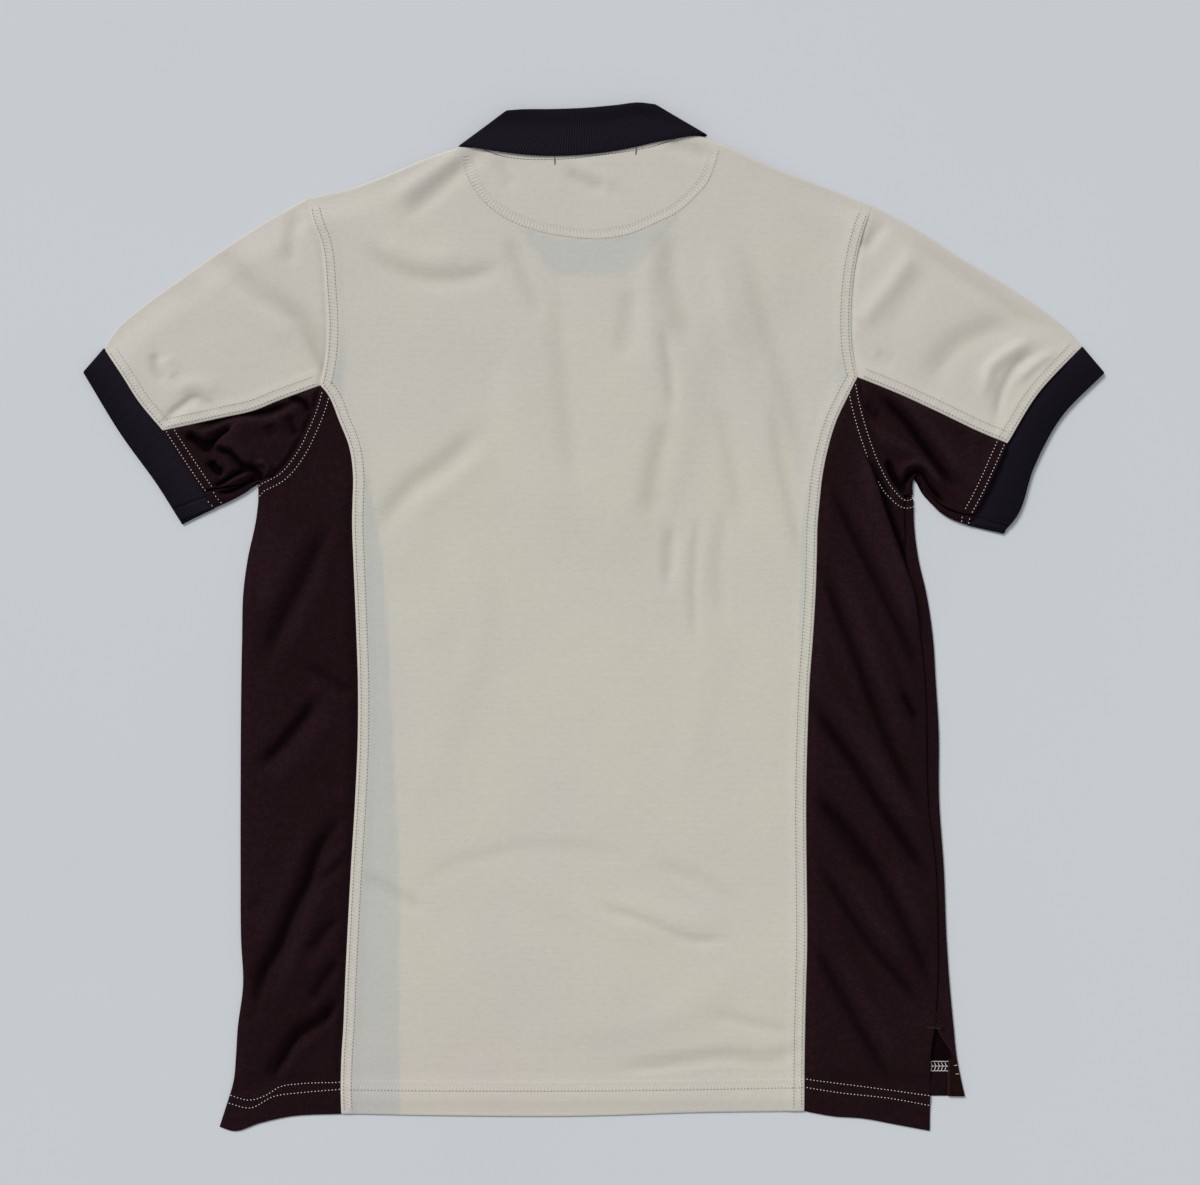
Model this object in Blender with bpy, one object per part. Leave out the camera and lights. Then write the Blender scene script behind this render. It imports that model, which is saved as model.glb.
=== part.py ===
"""Polo shirt laid flat with its back up, cut and sewn from panels of knit cloth.

Every panel is a closed wall of cloth, a grid of points between four sewn or folded edges.
Lengths are in millimetres here and become metres when a mesh is made. X runs across the
shirt, Y from hem to collar and Z up from the surface that it lies on.
"""

import bpy
import numpy as np

# Cloth and seams
CLOTH = 1.1
RIB = 1.5
GAP = 0.3
HALF_GAP = GAP / 2

# Heights of the middle of each layer over the surface
FRONT_LEVEL = CLOTH / 2
RAISED_FRONT = RIB + GAP + CLOTH / 2
BACK_OVER_FRONT = CLOTH + GAP
AIR = 1.2
AIR_REACH = 28
NECK_LEVEL = 5.45
FACING_CLOTH = 1.0

# Where the front is raised: over the collar's leaves and over the placket. Ovals with their centre,
# half width and half height; the slope outside them, and the one round the half-moon, in their own sizes
RAISED_PLACES = (((-3.0, 322.0), 128.0, 104.0), ((5.0, 200.0), 62.0, 108.0))
RAISED_END = 1.55
RAISED_SLOPE = 0.5
NECK_END = 2.2
NECK_SLOPE = 0.95

# Neck: half-moon facing as half an oval, and the front neckline as a parabola on each side
MOON_CENTRE = (-5.4, 374.0)
MOON_HALF_WIDTH = 100.0
MOON_DEPTH = 71.6
MOON_BELOW_SEAM = 0.6
MOON_COLUMNS = 10
MOON_ROWS = 4
NECK_LEFT = (-107.0, 376.0)
NECK_RIGHT = (87.6, 384.4)
NECK_LOW = (5.0, 271.2)
PLACKET_HALF_WIDTH = 16.0
PLACKET_ROWS = 7

# Collar: distances of stand and fall from the neck's flat middle plane
COLLAR_MIDDLE = 4.0
STAND_OFFSET = 1.45
FALL_OFFSET = 3.25
FOLD_BULGE = (FALL_OFFSET - STAND_OFFSET) / 2

# Buttons
BUTTON_DIAMETER = 11.0
BUTTON_HEIGHT = 1.5
BUTTON_RIM = 1.4
BUTTON_DISH = 0.4
BUTTON_EDGE = 0.4
BUTTON_SIDES = 16
BUTTONS = {"button_top": 0.14, "button_middle": 0.48, "button_low": 0.82}

# Where the front ends under the longer back, and where the back then lies on the surface
FRONT_HEM = -382.8
BACK_LEAVES_FRONT = FRONT_HEM - 3
BACK_TOUCHES_DOWN = -394.0

# Sections down the body, and how many points are taken along the other edges
SECTION_HEIGHTS = (94, 60, 20, -30, -86, -146, -202, -258, -310, -352, FRONT_HEM)
ARMHOLE_ROWS = 6
FRONT_APEX = 4
ARMPIT_ROWS = 7
SLEEVE_COLUMNS = 8
SIDE_COLUMNS = 6
SHOULDER_COLUMNS = 4
NECK_COLUMNS = 7
BACK_WEDGE_START = 2.5
FRONT_WEDGE_START = 9.0
LAST_STEP = {"left": (12.0, 14.0), "right": (8.0, 9.0)}
UNDERARM_RISE = {"left": (5.0, 14.0), "right": (6.0, 9.0)}
ROLLED_FRONT_BELOW_VENT = (285.2, 285.0)
SEAM_TURN = 77.6
BACK_TURN = (SEAM_TURN, 40, 0)
FRONT_TURN = (180 - SEAM_TURN, 140, 180)
HALF_TURN = (0, 45, 90, 135, 180)
TURNED_STEP = 2.0
LEAST_SHARE = 0.55
LYING = 0.8
SHARP = 50
ARMPIT_ROOM = 0.7

# Knit and rib colours, linear
PALE = (0.53, 0.52, 0.44)
BROWN = (0.016, 0.0075, 0.0095)
BLACK = (0.009, 0.0085, 0.0125)
RESIN = (0.35, 0.33, 0.28)


def table(columns, rows):
    """The rows as arrays by column name."""
    return dict(zip(columns.split(), np.array(rows, float).T))


# Sections of the body from under the arms to the hem
BODY = table("y left_edge left_seam right_seam side_seam right_edge", [
    (94, -268.6, -192.2, 180.2, 247.0, 256.2),
    (78, -270.6, -192.6, 178.7, 247.6, 256.4),
    (46, -277.4, -191.6, 177.8, 250.2, 260.2),
    (22, -280.6, -190.6, 177.0, 254.6, 265.8),
    (-18, -281.8, -189.0, 174.6, 261.0, 271.8),
    (-50, -282.4, -188.0, 172.2, 264.2, 273.8),
    (-90, -282.8, -188.0, 170.6, 265.4, 276.2),
    (-146, -283.0, -190.2, 169.4, 266.6, 276.6),
    (-202, -283.0, -193.6, 169.8, 273.0, 280.4),
    (-258, -282.6, -196.6, 170.2, 274.6, 282.6),
    (-294, -281.0, -198.4, 169.4, 274.4, 285.0),
    (-330, -285.4, -200.0, 168.7, 273.8, 287.8),
    (-370, -288.4, -202.1, 168.3, 270.0, 293.8),
    (-400, -297.6, -201.8, 168.2, 269.8, 300.0),
])

# Hidden seams between the front body and the front side panels
FRONT_SEAMS = table("y left right", [
    (174, -199, 194),
    (134, -184.5, 180),
    (94, -175.6, 169),
    (66, -170.4, 165.4),
    (46, -167, 165),
    (-18, -163, 164),
    (-146, -156.6, 164),
    (-202, -154.2, 164),
    (-382.8, -154.2, 164),
])

# Armholes from the shoulder to where pale and brown cloth meet, then on to the armpit
ARMHOLES = {
    "left": table("x y", [
        (-229.4, 335.6), (-225.4, 318.8), (-218.4, 300), (-214.2, 262), (-212.6, 230),
        (-214.6, 203.6), (-218.2, 186),
    ]),
    "left_low": table("x y", [
        (-218.2, 186), (-222.4, 170), (-230, 151), (-240, 131.6), (-252, 117), (-268.6, 108.4),
    ]),
    "right": table("x y", [
        (223.4, 329.6), (216, 311), (209, 282), (205.4, 240), (206.2, 216), (210.6, 192.4),
    ]),
    "right_low": table("x y", [
        (210.6, 192.4), (214.4, 172), (222, 145), (232, 119.6), (243, 101.6), (249.6, 96),
        (255.6, 98),
    ]),
}

# Seams between the centre back and its side panels, from the armhole to the section at y = 94
BACK_SEAMS = {
    "left": table("x y", [
        (-218.2, 186), (-210.6, 175.6), (-203.4, 158), (-195, 136.4), (-191.8, 112), (-192.2, 94),
    ]),
    "right": table("x y", [
        (210.6, 192.4), (203.4, 178), (193.4, 157), (186, 132), (181.6, 108), (180.2, 94),
    ]),
}

SHOULDERS = {
    "left": table("x y", [(-229.4, 335.6), (-194, 343.6), (-168, 353), (-132, 367.6), NECK_LEFT]),
    "right": table("x y", [NECK_RIGHT, (106, 377), (146, 359), (184, 345), (223.4, 329.6)]),
}
NECK_SEAM = table("x y", [
    NECK_LEFT, (-84, 370.6), (-50, 366.2), (-10, 366.6), (36, 373.6), NECK_RIGHT,
])
BACK_HEM = table("x y", [(-201.8, -397.2), (-129, -398.6), (-10, -399), (90.6, -396), (168.2, -395)])
LEFT_HEM = table("x y", [
    (-299.8, -407.6), (-289, -411), (-268, -404.8), (-246, -399.8), (-201.8, -397.2),
])
RIGHT_HEM = table("x y", [(168.2, -395), (193, -399.4), (214, -400.8), (243, -406), (268.8, -410.8)])

# Sleeves: the folded top, the seam of pale and brown cloth, and the under edge
SLEEVES = {
    "left": {
        "top": table("x y", [
            (-229.4, 335.6), (-267, 314), (-299, 293.2), (-331, 270.8), (-363, 247.6), (-381, 232),
            (-392.6, 215.6),
        ]),
        "seam": table("x y", [(-218.2, 186), (-251, 174), (-272, 165.6), (-299, 159.6), (-344.6, 149.6)]),
        "under": table("x y", [(-268.6, 108.4), (-276, 102), (-287, 95.4), (-303.6, 87.6)]),
        "cuff": table("x y", [(-392.6, 215.6), (-379, 196.4), (-363, 171.6), (-344.6, 149.6)]),
        "cuff_low": table("x y", [(-344.6, 149.6), (-331, 128.4), (-315, 104.4), (-303.6, 87.6)]),
        "band": table("x y", [(-408.6, 197.2), (-379, 148.4), (-347, 103.6), (-330.2, 76.8)]),
    },
    "right": {
        "top": table("x y", [
            (223.4, 329.6), (261, 309.2), (293, 288.4), (325, 269.2), (357, 247.6), (381, 228.4),
            (391.4, 216.8),
        ]),
        "seam": table("x y", [(210.6, 192.4), (245, 178.4), (277, 163.6), (309, 148.4), (330.6, 139.4)]),
        "under": table("x y", [
            (255.6, 98), (256.2, 107), (262.4, 105.4), (271, 92), (285, 79.6), (299.4, 74),
        ]),
        "cuff": table("x y", [(391.4, 216.8), (373, 198.8), (357, 181.2), (330.6, 139.4)]),
        "cuff_low": table("x y", [(330.6, 139.4), (321, 118), (309, 92.4), (299.4, 74)]),
        "band": table("x y", [(408.6, 196.4), (373, 159.6), (352, 121), (337, 79.6), (328.2, 69.2)]),
    },
}

# The largest folds: soft ridges of the upper layer, from one end to the other
FOLDS = table("x1 y1 x2 y2 height width", [
    (205, 110, 259, -18, 4.0, 10),
    (193, 58, 257, -98, 3.5, 11),
    (185, -34, 265, -174, 3.0, 12),
    (185, -130, 265, -245, 3.0, 12),
    (197, -194, 257, -286, 3.0, 11),
    (189, -246, 241, -338, 2.5, 11),
    (-207, 46, -263, -82, 3.0, 13),
    (-203, -98, -265, -210, 3.0, 14),
    (-205, -210, -259, -330, 4.0, 12),
    (-330, 146, -236, 168, 3.0, 9),
    (-302, 104, -262, 124, 3.0, 9),
    (230, 172, 287, 98, 3.5, 11),
    (228, 122, 252, 112, 3.0, 9),
    (60, 254, 64, 46, 1.6, 16),
    (96, 60, 100, -60, 1.4, 16),
    (-120, 130, -170, 70, 1.8, 16),
])

# Collar sections at the front, from the shoulder to the placket. Each place is a share of
# the way from the placket to the neck point, and a height
LEAF = table("seam fold fold_y edge edge_y", [
    (0.80, 0.62, 362, 1.00, 336),
    (0.55, 0.44, 330, 0.90, 297),
    (0.30, 0.24, 309, 0.68, 262),
    (0.02, 0.02, 301, 0.40, 240),
])
# Collar sections at the back, from the left crease to the right one
COLLAR_BACK = table("fold_x fold_y edge_x edge_y", [
    (-73.8, 399.4, -104.1, 375.6),
    (-56, 403.9, -76, 372.2),
    (-34, 405.1, -43, 368.6),
    (-9, 406.1, -9, 369.8),
    (18, 408.2, 25, 374.2),
    (40, 409.6, 57, 381.4),
    (52.2, 404.1, 85.5, 382.4),
])
STAND_CORNERS = ((-101.5, 376.6), (81.5, 384.2))


def smooth(at, knots, values):
    """Cubic curve through the values, with the slope at each knot from its neighbours."""
    slopes = np.gradient(values, knots, axis=0)
    index = np.clip(np.searchsorted(knots, at, side="right") - 1, 0, len(knots) - 2)
    span = (knots[index + 1] - knots[index])[:, None]
    t = (at - knots[index])[:, None] / span
    start = values[index] * (1 + 2 * t) * (1 - t) ** 2 + slopes[index] * span * t * (1 - t) ** 2
    end = values[index + 1] * t * t * (3 - 2 * t) + slopes[index + 1] * span * t * t * (t - 1)
    return start + end


def path(edge, count, last=None):
    """Points at equal steps along the smooth curve through the edge's points.
    The last step may have its own length."""
    points = np.column_stack([edge["x"], edge["y"]])
    along = np.concatenate([[0], np.cumsum(np.linalg.norm(np.diff(points, axis=0), axis=1))])
    at = np.linspace(0, along[-1], count)
    if last:
        at = np.append(np.linspace(0, along[-1] - last, count - 1), along[-1])
    return smooth(at, along, points)


def column_at(rows, column, heights):
    """Points on one of the body's or front's long lines, at these heights."""
    heights = np.asarray(heights, float)
    order = np.argsort(rows["y"])
    across = smooth(heights, rows["y"][order], rows[column][order][:, None])[:, 0]
    return np.column_stack([across, heights])


def join(*runs):
    """Runs of points end to end, with the point that two share kept once."""
    return np.concatenate([runs[0]] + [run[1:] for run in runs[1:]])


def soft_step(value):
    """0 below 0, 1 above 1 and smooth between."""
    value = np.clip(value, 0, 1)
    return value * value * (3 - 2 * value)


def shares(run):
    """How far along the run each of its points lies, from 0 to 1."""
    steps = np.cumsum(np.linalg.norm(np.diff(run, axis=0), axis=1))
    return np.concatenate([[0], steps]) / steps[-1]


def patch(top, bottom, left, right):
    """Grid between four edges: row i runs from left[i] to right[i], column j from top[j] to bottom[j]."""
    u = ((shares(top) + shares(bottom)) / 2)[None, :, None]
    v = ((shares(left) + shares(right)) / 2)[:, None, None]
    across = (1 - u) * left[:, None] + u * right[:, None]
    down = (1 - v) * top[None] + v * bottom[None]
    corners = (1 - v) * ((1 - u) * top[0] + u * top[-1]) + v * ((1 - u) * bottom[0] + u * bottom[-1])
    return across + down - corners


def square_to(run, inside):
    """Unit vectors square to the run in plan, on the side where the inside points lie."""
    along = np.gradient(run, axis=0)
    normal = np.column_stack([-along[:, 1], along[:, 0]])
    normal /= np.linalg.norm(normal, axis=1, keepdims=True)
    return normal * np.sign(np.sum(normal * (inside - run)))


def inset(grid, sides):
    """The grid with the named edges (t, b, l, r) moved in by half a seam's gap."""
    moved = grid.copy()
    if "t" in sides:
        moved[0] += HALF_GAP * square_to(grid[0], grid[1])
    if "b" in sides:
        moved[-1] += HALF_GAP * square_to(grid[-1], grid[-2])
    if "l" in sides:
        moved[:, 0] += HALF_GAP * square_to(grid[:, 0], grid[:, 1])
    if "r" in sides:
        moved[:, -1] += HALF_GAP * square_to(grid[:, -1], grid[:, -2])
    return moved


def distance_to(points, run):
    """Distance in plan of each point to the line through the run."""
    start, step = run[:-1], np.diff(run, axis=0)
    offset = points[..., None, :] - start
    share = np.clip(np.sum(offset * step, -1) / np.sum(step * step, -1), 0, 1)
    return np.linalg.norm(offset - share[..., None] * step, axis=-1).min(axis=-1)


def oval(points, centre, half_width, half_height):
    """Distance from the centre, 1 on the oval."""
    offset = points - np.array(centre)
    return np.hypot(offset[..., 0] / half_width, offset[..., 1] / half_height)


def front_height(points):
    """Middle of the front layer: on the surface, and raised over the collar leaves and the placket."""
    inside = np.min([oval(points, *place) for place in RAISED_PLACES], axis=0)
    raised = soft_step((RAISED_END - inside) / RAISED_SLOPE)
    return FRONT_LEVEL + (RAISED_FRONT - FRONT_LEVEL) * raised


def fold_height(points):
    """Sum of the ridges: a bell across each one, which fades out at both ends."""
    total = np.zeros(points.shape[:-1])
    for x1, y1, x2, y2, height, width in zip(*FOLDS.values()):
        start = np.array([x1, y1])
        length = np.hypot(x2 - x1, y2 - y1)
        along_axis = np.array([x2 - x1, y2 - y1]) / length
        offset = points - start
        along = offset @ along_axis / length
        across = offset @ np.array([-along_axis[1], along_axis[0]])
        ends = soft_step((along + 0.15) / 0.35) * soft_step((1.15 - along) / 0.35)
        total += height * ends * np.exp(-((across / width) ** 2))
    return total


def back_height(points):
    """Middle of the back layer: over the front with a little air and the folds, and down at the hem."""
    edge = distance_to(points, FOLDED_EDGES[0])
    for run in FOLDED_EDGES[1:]:
        edge = np.minimum(edge, distance_to(points, run))
    inner = soft_step(edge / AIR_REACH)
    height = front_height(points) + BACK_OVER_FRONT + inner * (AIR + fold_height(points))
    neck = soft_step((NECK_END - oval(points, MOON_CENTRE, MOON_HALF_WIDTH, MOON_DEPTH)) / NECK_SLOPE)
    height = height + (NECK_LEVEL - height) * neck
    down = soft_step((BACK_LEAVES_FRONT - points[..., 1]) / (BACK_LEAVES_FRONT - BACK_TOUCHES_DOWN))
    return height + (FRONT_LEVEL - height) * down


def raise_to(grid, height):
    """The plan grid with its heights."""
    return np.concatenate([grid, height(grid)[..., None]], axis=-1)


def turned_edge(edge, inside, angles, top, low, thickness=CLOTH):
    """Rows round a folded edge: part of a circle from the back layer, at 0, to the front one, at 180.
    Its outer side touches the edge in plan. Each point shifts towards its own inside point, or square
    to the edge where that lies too far along it."""
    radius = (top - low) / 2
    square = square_to(edge, inside)
    heading = inside - edge
    heading = heading / np.linalg.norm(heading, axis=1, keepdims=True)
    share = np.sum(heading * square, axis=1, keepdims=True)
    heading = np.where(share > LEAST_SHARE, heading / np.maximum(share, LEAST_SHARE), square)
    centre = edge + heading * (radius + thickness / 2)[:, None]
    rows = []
    for angle in np.radians(angles):
        plan = centre - heading * (radius * np.sin(angle))[:, None]
        rows.append(np.column_stack([plan, (top + low) / 2 + radius * np.cos(angle)]))
    return np.array(rows)


def plain_edge(edge, inside, count, height):
    """As many rows, from the edge inwards, where the edge is cut and not folded."""
    heading = inside - edge
    heading = heading / np.linalg.norm(heading, axis=1, keepdims=True)
    steps = [edge + heading * CLOTH * step / (count - 1) for step in range(count)]
    return np.array([np.column_stack([plan, height]) for plan in steps])


def edge_rows(edge, inside, angles, folded):
    """Rows at an edge that is folded at some of its points and plain at the others."""
    top, low = back_height(edge), front_height(edge)
    turned = turned_edge(edge, inside, angles, top, low)
    plain = plain_edge(edge, inside, len(angles), top if max(angles) < 90 else low)
    return np.where(folded[None, :, None], turned, plain)


def with_end_row(points):
    """The grid with one more row before its first, which keeps that row's normals level at a turned edge."""
    before = 2 * points[0] - points[1]
    step = np.abs(points[0] - points[1])
    turned = (step[:, 2] > HALF_GAP) & (step[:, :2].max(axis=1) < TURNED_STEP)
    before[turned, :2] = points[1, turned, :2]
    return np.concatenate([before[None], points])


def normals_of(points, closed):
    """Directions of thickness: straight up or down where the cloth lies, square to it round a fold."""
    if closed:
        across = np.roll(points, -1, axis=1) - np.roll(points, 1, axis=1)
    else:
        across = np.gradient(points, axis=1)
    down = np.gradient(with_end_row(points), axis=0)[1:]
    normal = np.cross(across, down)
    normal /= np.linalg.norm(normal, axis=2, keepdims=True)
    lying = np.abs(normal[..., 2:]) > LYING
    upright = np.zeros_like(normal)
    upright[..., 2] = np.sign(normal[..., 2])
    return np.where(lying, upright, normal)


def material_of(name, colour, roughness):
    """A Principled material of this colour."""
    material = bpy.data.materials.get(name) or bpy.data.materials.new(name)
    material.use_nodes = True
    shader = material.node_tree.nodes["Principled BSDF"]
    shader.inputs["Base Color"].default_value = (*colour, 1)
    shader.inputs["Roughness"].default_value = roughness
    shader.inputs["Metallic"].default_value = 0
    return material


def add_mesh(name, points, faces, material):
    """A new object from points in millimetres, with its faces turned outwards."""
    corners = points[np.array([face[:3] for face in faces])]
    volume = np.linalg.det(corners).sum()
    if volume < 0:
        faces = [face[::-1] for face in faces]
    mesh = bpy.data.meshes.new(name)
    mesh.from_pydata((points / 1000).tolist(), [], faces)
    mesh.materials.append(material)
    mesh.shade_smooth()
    mesh.set_sharp_from_angle(angle=np.radians(SHARP))
    node = bpy.data.objects.new(name, mesh)
    bpy.context.scene.collection.objects.link(node)
    return node


def wall(name, points, thickness, material, keep=None, closed=False):
    """Closed wall of cloth: the grid moved half the thickness each way, and a rim round its kept cells."""
    rows, columns = points.shape[:2]
    normal = normals_of(points, closed) * thickness / 2
    both = np.concatenate([(points + normal).reshape(-1, 3), (points - normal).reshape(-1, 3)])
    index = np.arange(rows * columns).reshape(rows, columns)
    cells = []
    for i in range(rows - 1):
        for j in range(columns if closed else columns - 1):
            if keep is None or keep[i, j]:
                k = (j + 1) % columns
                cells.append((index[i, j], index[i, k], index[i + 1, k], index[i + 1, j]))
    edges = [(cell[n], cell[(n + 1) % 4]) for cell in cells for n in range(4)]
    rim = [edge for edge in edges if edge[::-1] not in set(edges)]
    below = rows * columns
    faces = []
    for a, b, c, d in cells:
        faces += [(a, b, c), (a, c, d)]
        faces += [(c + below, b + below, a + below), (d + below, c + below, a + below)]
    for a, b in rim:
        faces += [(b, a, a + below), (b, a + below, b + below)]
    faces = [tuple(int(corner) for corner in face) for face in faces]
    return add_mesh(name, both, faces, material)


def neckline(side, share):
    """Point of the front neckline, this share of the way from its lowest point to the neck point."""
    reach = np.array(NECK_LEFT if side == "left" else NECK_RIGHT) - NECK_LOW
    return NECK_LOW + np.array([share, share**2]) * reach


def placket_share(side):
    """Half the placket's width as a share of the way from the neckline's lowest point to the neck point."""
    end = NECK_LEFT if side == "left" else NECK_RIGHT
    return PLACKET_HALF_WIDTH / abs(end[0] - NECK_LOW[0])


def side_runs(side):
    """The shared runs of points of one side of the body, each listed from top to bottom."""
    armhole = path(ARMHOLES[side], ARMHOLE_ROWS)
    low = path(ARMHOLES[side + "_low"], ARMPIT_ROWS, last=LAST_STEP[side][0])
    below = SECTION_HEIGHTS[1:]
    hem = {"left": LEFT_HEM, "right": RIGHT_HEM}[side]
    hem_run = path(hem, SIDE_COLUMNS)
    if side == "left":
        hem_run = hem_run[::-1]
    long_seam = column_at(BODY, side + "_seam", SECTION_HEIGHTS)
    seam = join(path(BACK_SEAMS[side], ARMPIT_ROWS), long_seam, hem_run[[0, 0]])
    start = np.vstack([armhole[FRONT_APEX], column_at(FRONT_SEAMS, side, [174, 134, 94])])
    start = path({"x": start[:, 0], "y": start[:, 1]}, ARMPIT_ROWS + 1)
    front_seam = join(start, column_at(FRONT_SEAMS, side, SECTION_HEIGHTS))
    return {
        "armhole": armhole,
        "low": low,
        "seam": seam,
        "front_seam": front_seam,
        "edge": column_at(BODY, side + "_edge", below),
        "side_seam": column_at(BODY, "side_seam", below),
        "hem": hem_run,
    }


def sleeve_runs(side):
    """The shared runs of points of one sleeve."""
    edges = SLEEVES[side]
    runs = {name: path(edges[name], SLEEVE_COLUMNS) for name in ("top", "seam", "under")}
    runs["cuff"] = path(edges["cuff"], ARMHOLE_ROWS)
    runs["cuff_low"] = path(edges["cuff_low"], ARMPIT_ROWS, last=LAST_STEP[side][1])
    runs["band"] = path(edges["band"], ARMHOLE_ROWS + ARMPIT_ROWS - 1)
    start = SIDES[side]["low"][-2]
    end = runs["cuff_low"][-2]
    under = runs["under"]
    share = shares(under)[:, None]
    rise = (1 - share) * UNDERARM_RISE[side][0] + share * UNDERARM_RISE[side][1]
    seam = under + rise * square_to(under, runs["seam"])
    runs["underarm"] = seam + (1 - share) ** 4 * (start - seam[0]) + share**4 * (end - seam[-1])
    return runs


def wedge(outer, inner, start):
    """Both runs with their shared first point moved down each by the start, for a first row with a width."""
    outer, inner = outer.copy(), inner.copy()
    for run in (outer, inner):
        step = run[1] - run[0]
        run[0] += step * start / np.linalg.norm(step)
    return outer, inner


def make_back_body():
    """Centre back: shoulders turned down to meet the front, a plain neck edge, and a seam at each side."""
    neck = path(NECK_SEAM, NECK_COLUMNS)
    top = join(path(SHOULDERS["left"], SHOULDER_COLUMNS), neck, path(SHOULDERS["right"], SHOULDER_COLUMNS))
    left = join(SIDES["left"]["armhole"], SIDES["left"]["seam"])
    right = join(SIDES["right"]["armhole"], SIDES["right"]["seam"])
    grid = patch(top, path(BACK_HEM, len(top)), left, right)
    column = np.arange(len(top))
    sewn = (column >= SHOULDER_COLUMNS) & (column < SHOULDER_COLUMNS + NECK_COLUMNS - 2)
    moved = inset(grid, "lr")
    moved[0, sewn] = inset(grid, "t")[0, sewn]
    edge = edge_rows(moved[0], moved[1], BACK_TURN, ~sewn)
    return wall("back_body", np.concatenate([edge, raise_to(moved[1:], back_height)]), CLOTH, pale())


def make_front_body():
    """Centre front, with the neckline and a slot that the placket fills, and the placket itself."""
    shares_down = [1.0] + list(LEAF["seam"][:-1])
    left_neck = np.array([neckline("left", share) for share in shares_down])
    right_neck = np.array([neckline("right", share) for share in shares_down])[::-1]
    slot = np.array([neckline(side, placket_share(side)) for side in ("left", "right")])
    top = join(path(SHOULDERS["left"], SHOULDER_COLUMNS), left_neck)
    top = np.concatenate([top, slot, right_neck])
    top = join(top, path(SHOULDERS["right"], SHOULDER_COLUMNS))
    columns = len(top)
    left = join(SIDES["left"]["armhole"][: FRONT_APEX + 1], SIDES["left"]["front_seam"])
    right = join(SIDES["right"]["armhole"][: FRONT_APEX + 1], SIDES["right"]["front_seam"])
    first = SHOULDER_COLUMNS + len(left_neck) - 1
    corners = (left[-1, 0], slot[0, 0], slot[1, 0], right[-1, 0])
    hem_x = np.interp(np.arange(columns), (0, first, first + 1, columns - 1), corners)
    hem = np.column_stack([hem_x, np.full(columns, FRONT_HEM)])
    grid = patch(top, hem, left, right)
    column = np.arange(columns)
    neck = (column >= SHOULDER_COLUMNS) & (column < columns - SHOULDER_COLUMNS)
    moved = inset(grid, "lr")
    moved[0, neck] = inset(grid, "t")[0, neck]
    moved[:PLACKET_ROWS + 1, first, 0] -= HALF_GAP
    moved[:PLACKET_ROWS + 1, first + 1, 0] += HALF_GAP
    moved[PLACKET_ROWS, first:first + 2, 1] -= HALF_GAP
    edge = edge_rows(moved[0], moved[1], FRONT_TURN, ~neck)
    points = np.concatenate([edge, raise_to(moved[1:], front_height)])
    extra = len(edge) - 1
    keep = np.ones((len(points) - 1, columns - 1), bool)
    keep[:PLACKET_ROWS + extra, first] = False
    body = wall("front_body", points, CLOTH, pale(), keep=keep)
    strip = inset(grid[:PLACKET_ROWS + 1, first:first + 2], "tblr")
    middle = strip.mean(axis=1, keepdims=True)
    strip = np.concatenate([strip[:, :1], middle, strip[:, 1:]], axis=1)
    placket = wall("placket", raise_to(strip, front_height), CLOTH, pale())
    return body, placket, middle[:, 0]


def make_buttons(line):
    """Three dished discs under the placket, on the surface."""
    radius = BUTTON_DIAMETER / 2
    profile = [
        (0, 0),
        (radius - BUTTON_EDGE, 0),
        (radius, BUTTON_EDGE),
        (radius, BUTTON_HEIGHT - BUTTON_EDGE),
        (radius - BUTTON_EDGE, BUTTON_HEIGHT),
        (radius - BUTTON_RIM, BUTTON_HEIGHT),
        (radius - BUTTON_RIM - BUTTON_EDGE, BUTTON_HEIGHT - BUTTON_DISH),
        (0, BUTTON_HEIGHT - BUTTON_DISH),
    ]
    for name, share in BUTTONS.items():
        turned_solid(name, profile, BUTTON_SIDES, line[0] + share * (line[-1] - line[0]))


def turned_solid(name, profile, sides, place):
    """Solid of revolution: the profile's points (radius, height) turned about Z at this place in plan."""
    angle = np.arange(sides) * 2 * np.pi / sides
    circle = np.column_stack([np.cos(angle), np.sin(angle)])
    rings = [np.column_stack([r * circle, np.full(sides, z)]) for r, z in profile[1:-1]]
    points = np.concatenate(rings + [np.array([[0, 0, profile[0][1]], [0, 0, profile[-1][1]]])])
    points[:, :2] += place
    faces = []
    for ring in range(len(rings) - 1):
        for side in range(sides):
            a, b = ring * sides + side, ring * sides + (side + 1) % sides
            faces += [(a, b, b + sides), (a, b + sides, a + sides)]
    low, high = len(rings) * sides, len(rings) * sides + 1
    last = (len(rings) - 1) * sides
    for side in range(sides):
        following = (side + 1) % sides
        faces += [(low, following, side), (high, last + side, last + following)]
    return add_mesh(name, points, faces, material_of("resin", RESIN, 0.35))


def make_half_moon():
    """Facing inside the back neck: the back's own surface moved in, from the neck seam to half an oval."""
    top = path(NECK_SEAM, MOON_COLUMNS)[1:-1] - [0, MOON_BELOW_SEAM]
    angle = np.linspace(np.pi, 2 * np.pi, len(top) + 2)[1:-1]
    arc = MOON_CENTRE + np.column_stack([MOON_HALF_WIDTH * np.cos(angle), MOON_DEPTH * np.sin(angle)])
    side_share = np.linspace(0, 1, MOON_ROWS)[:, None]
    left = top[0] + side_share * (arc[0] - top[0])
    right = top[-1] + side_share * (arc[-1] - top[-1])
    points = raise_to(patch(top, arc, left, right), back_height)
    points[..., 2] -= CLOTH / 2 + GAP + FACING_CLOTH / 2
    wall("half_moon_facing", points, FACING_CLOTH, pale())


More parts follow.
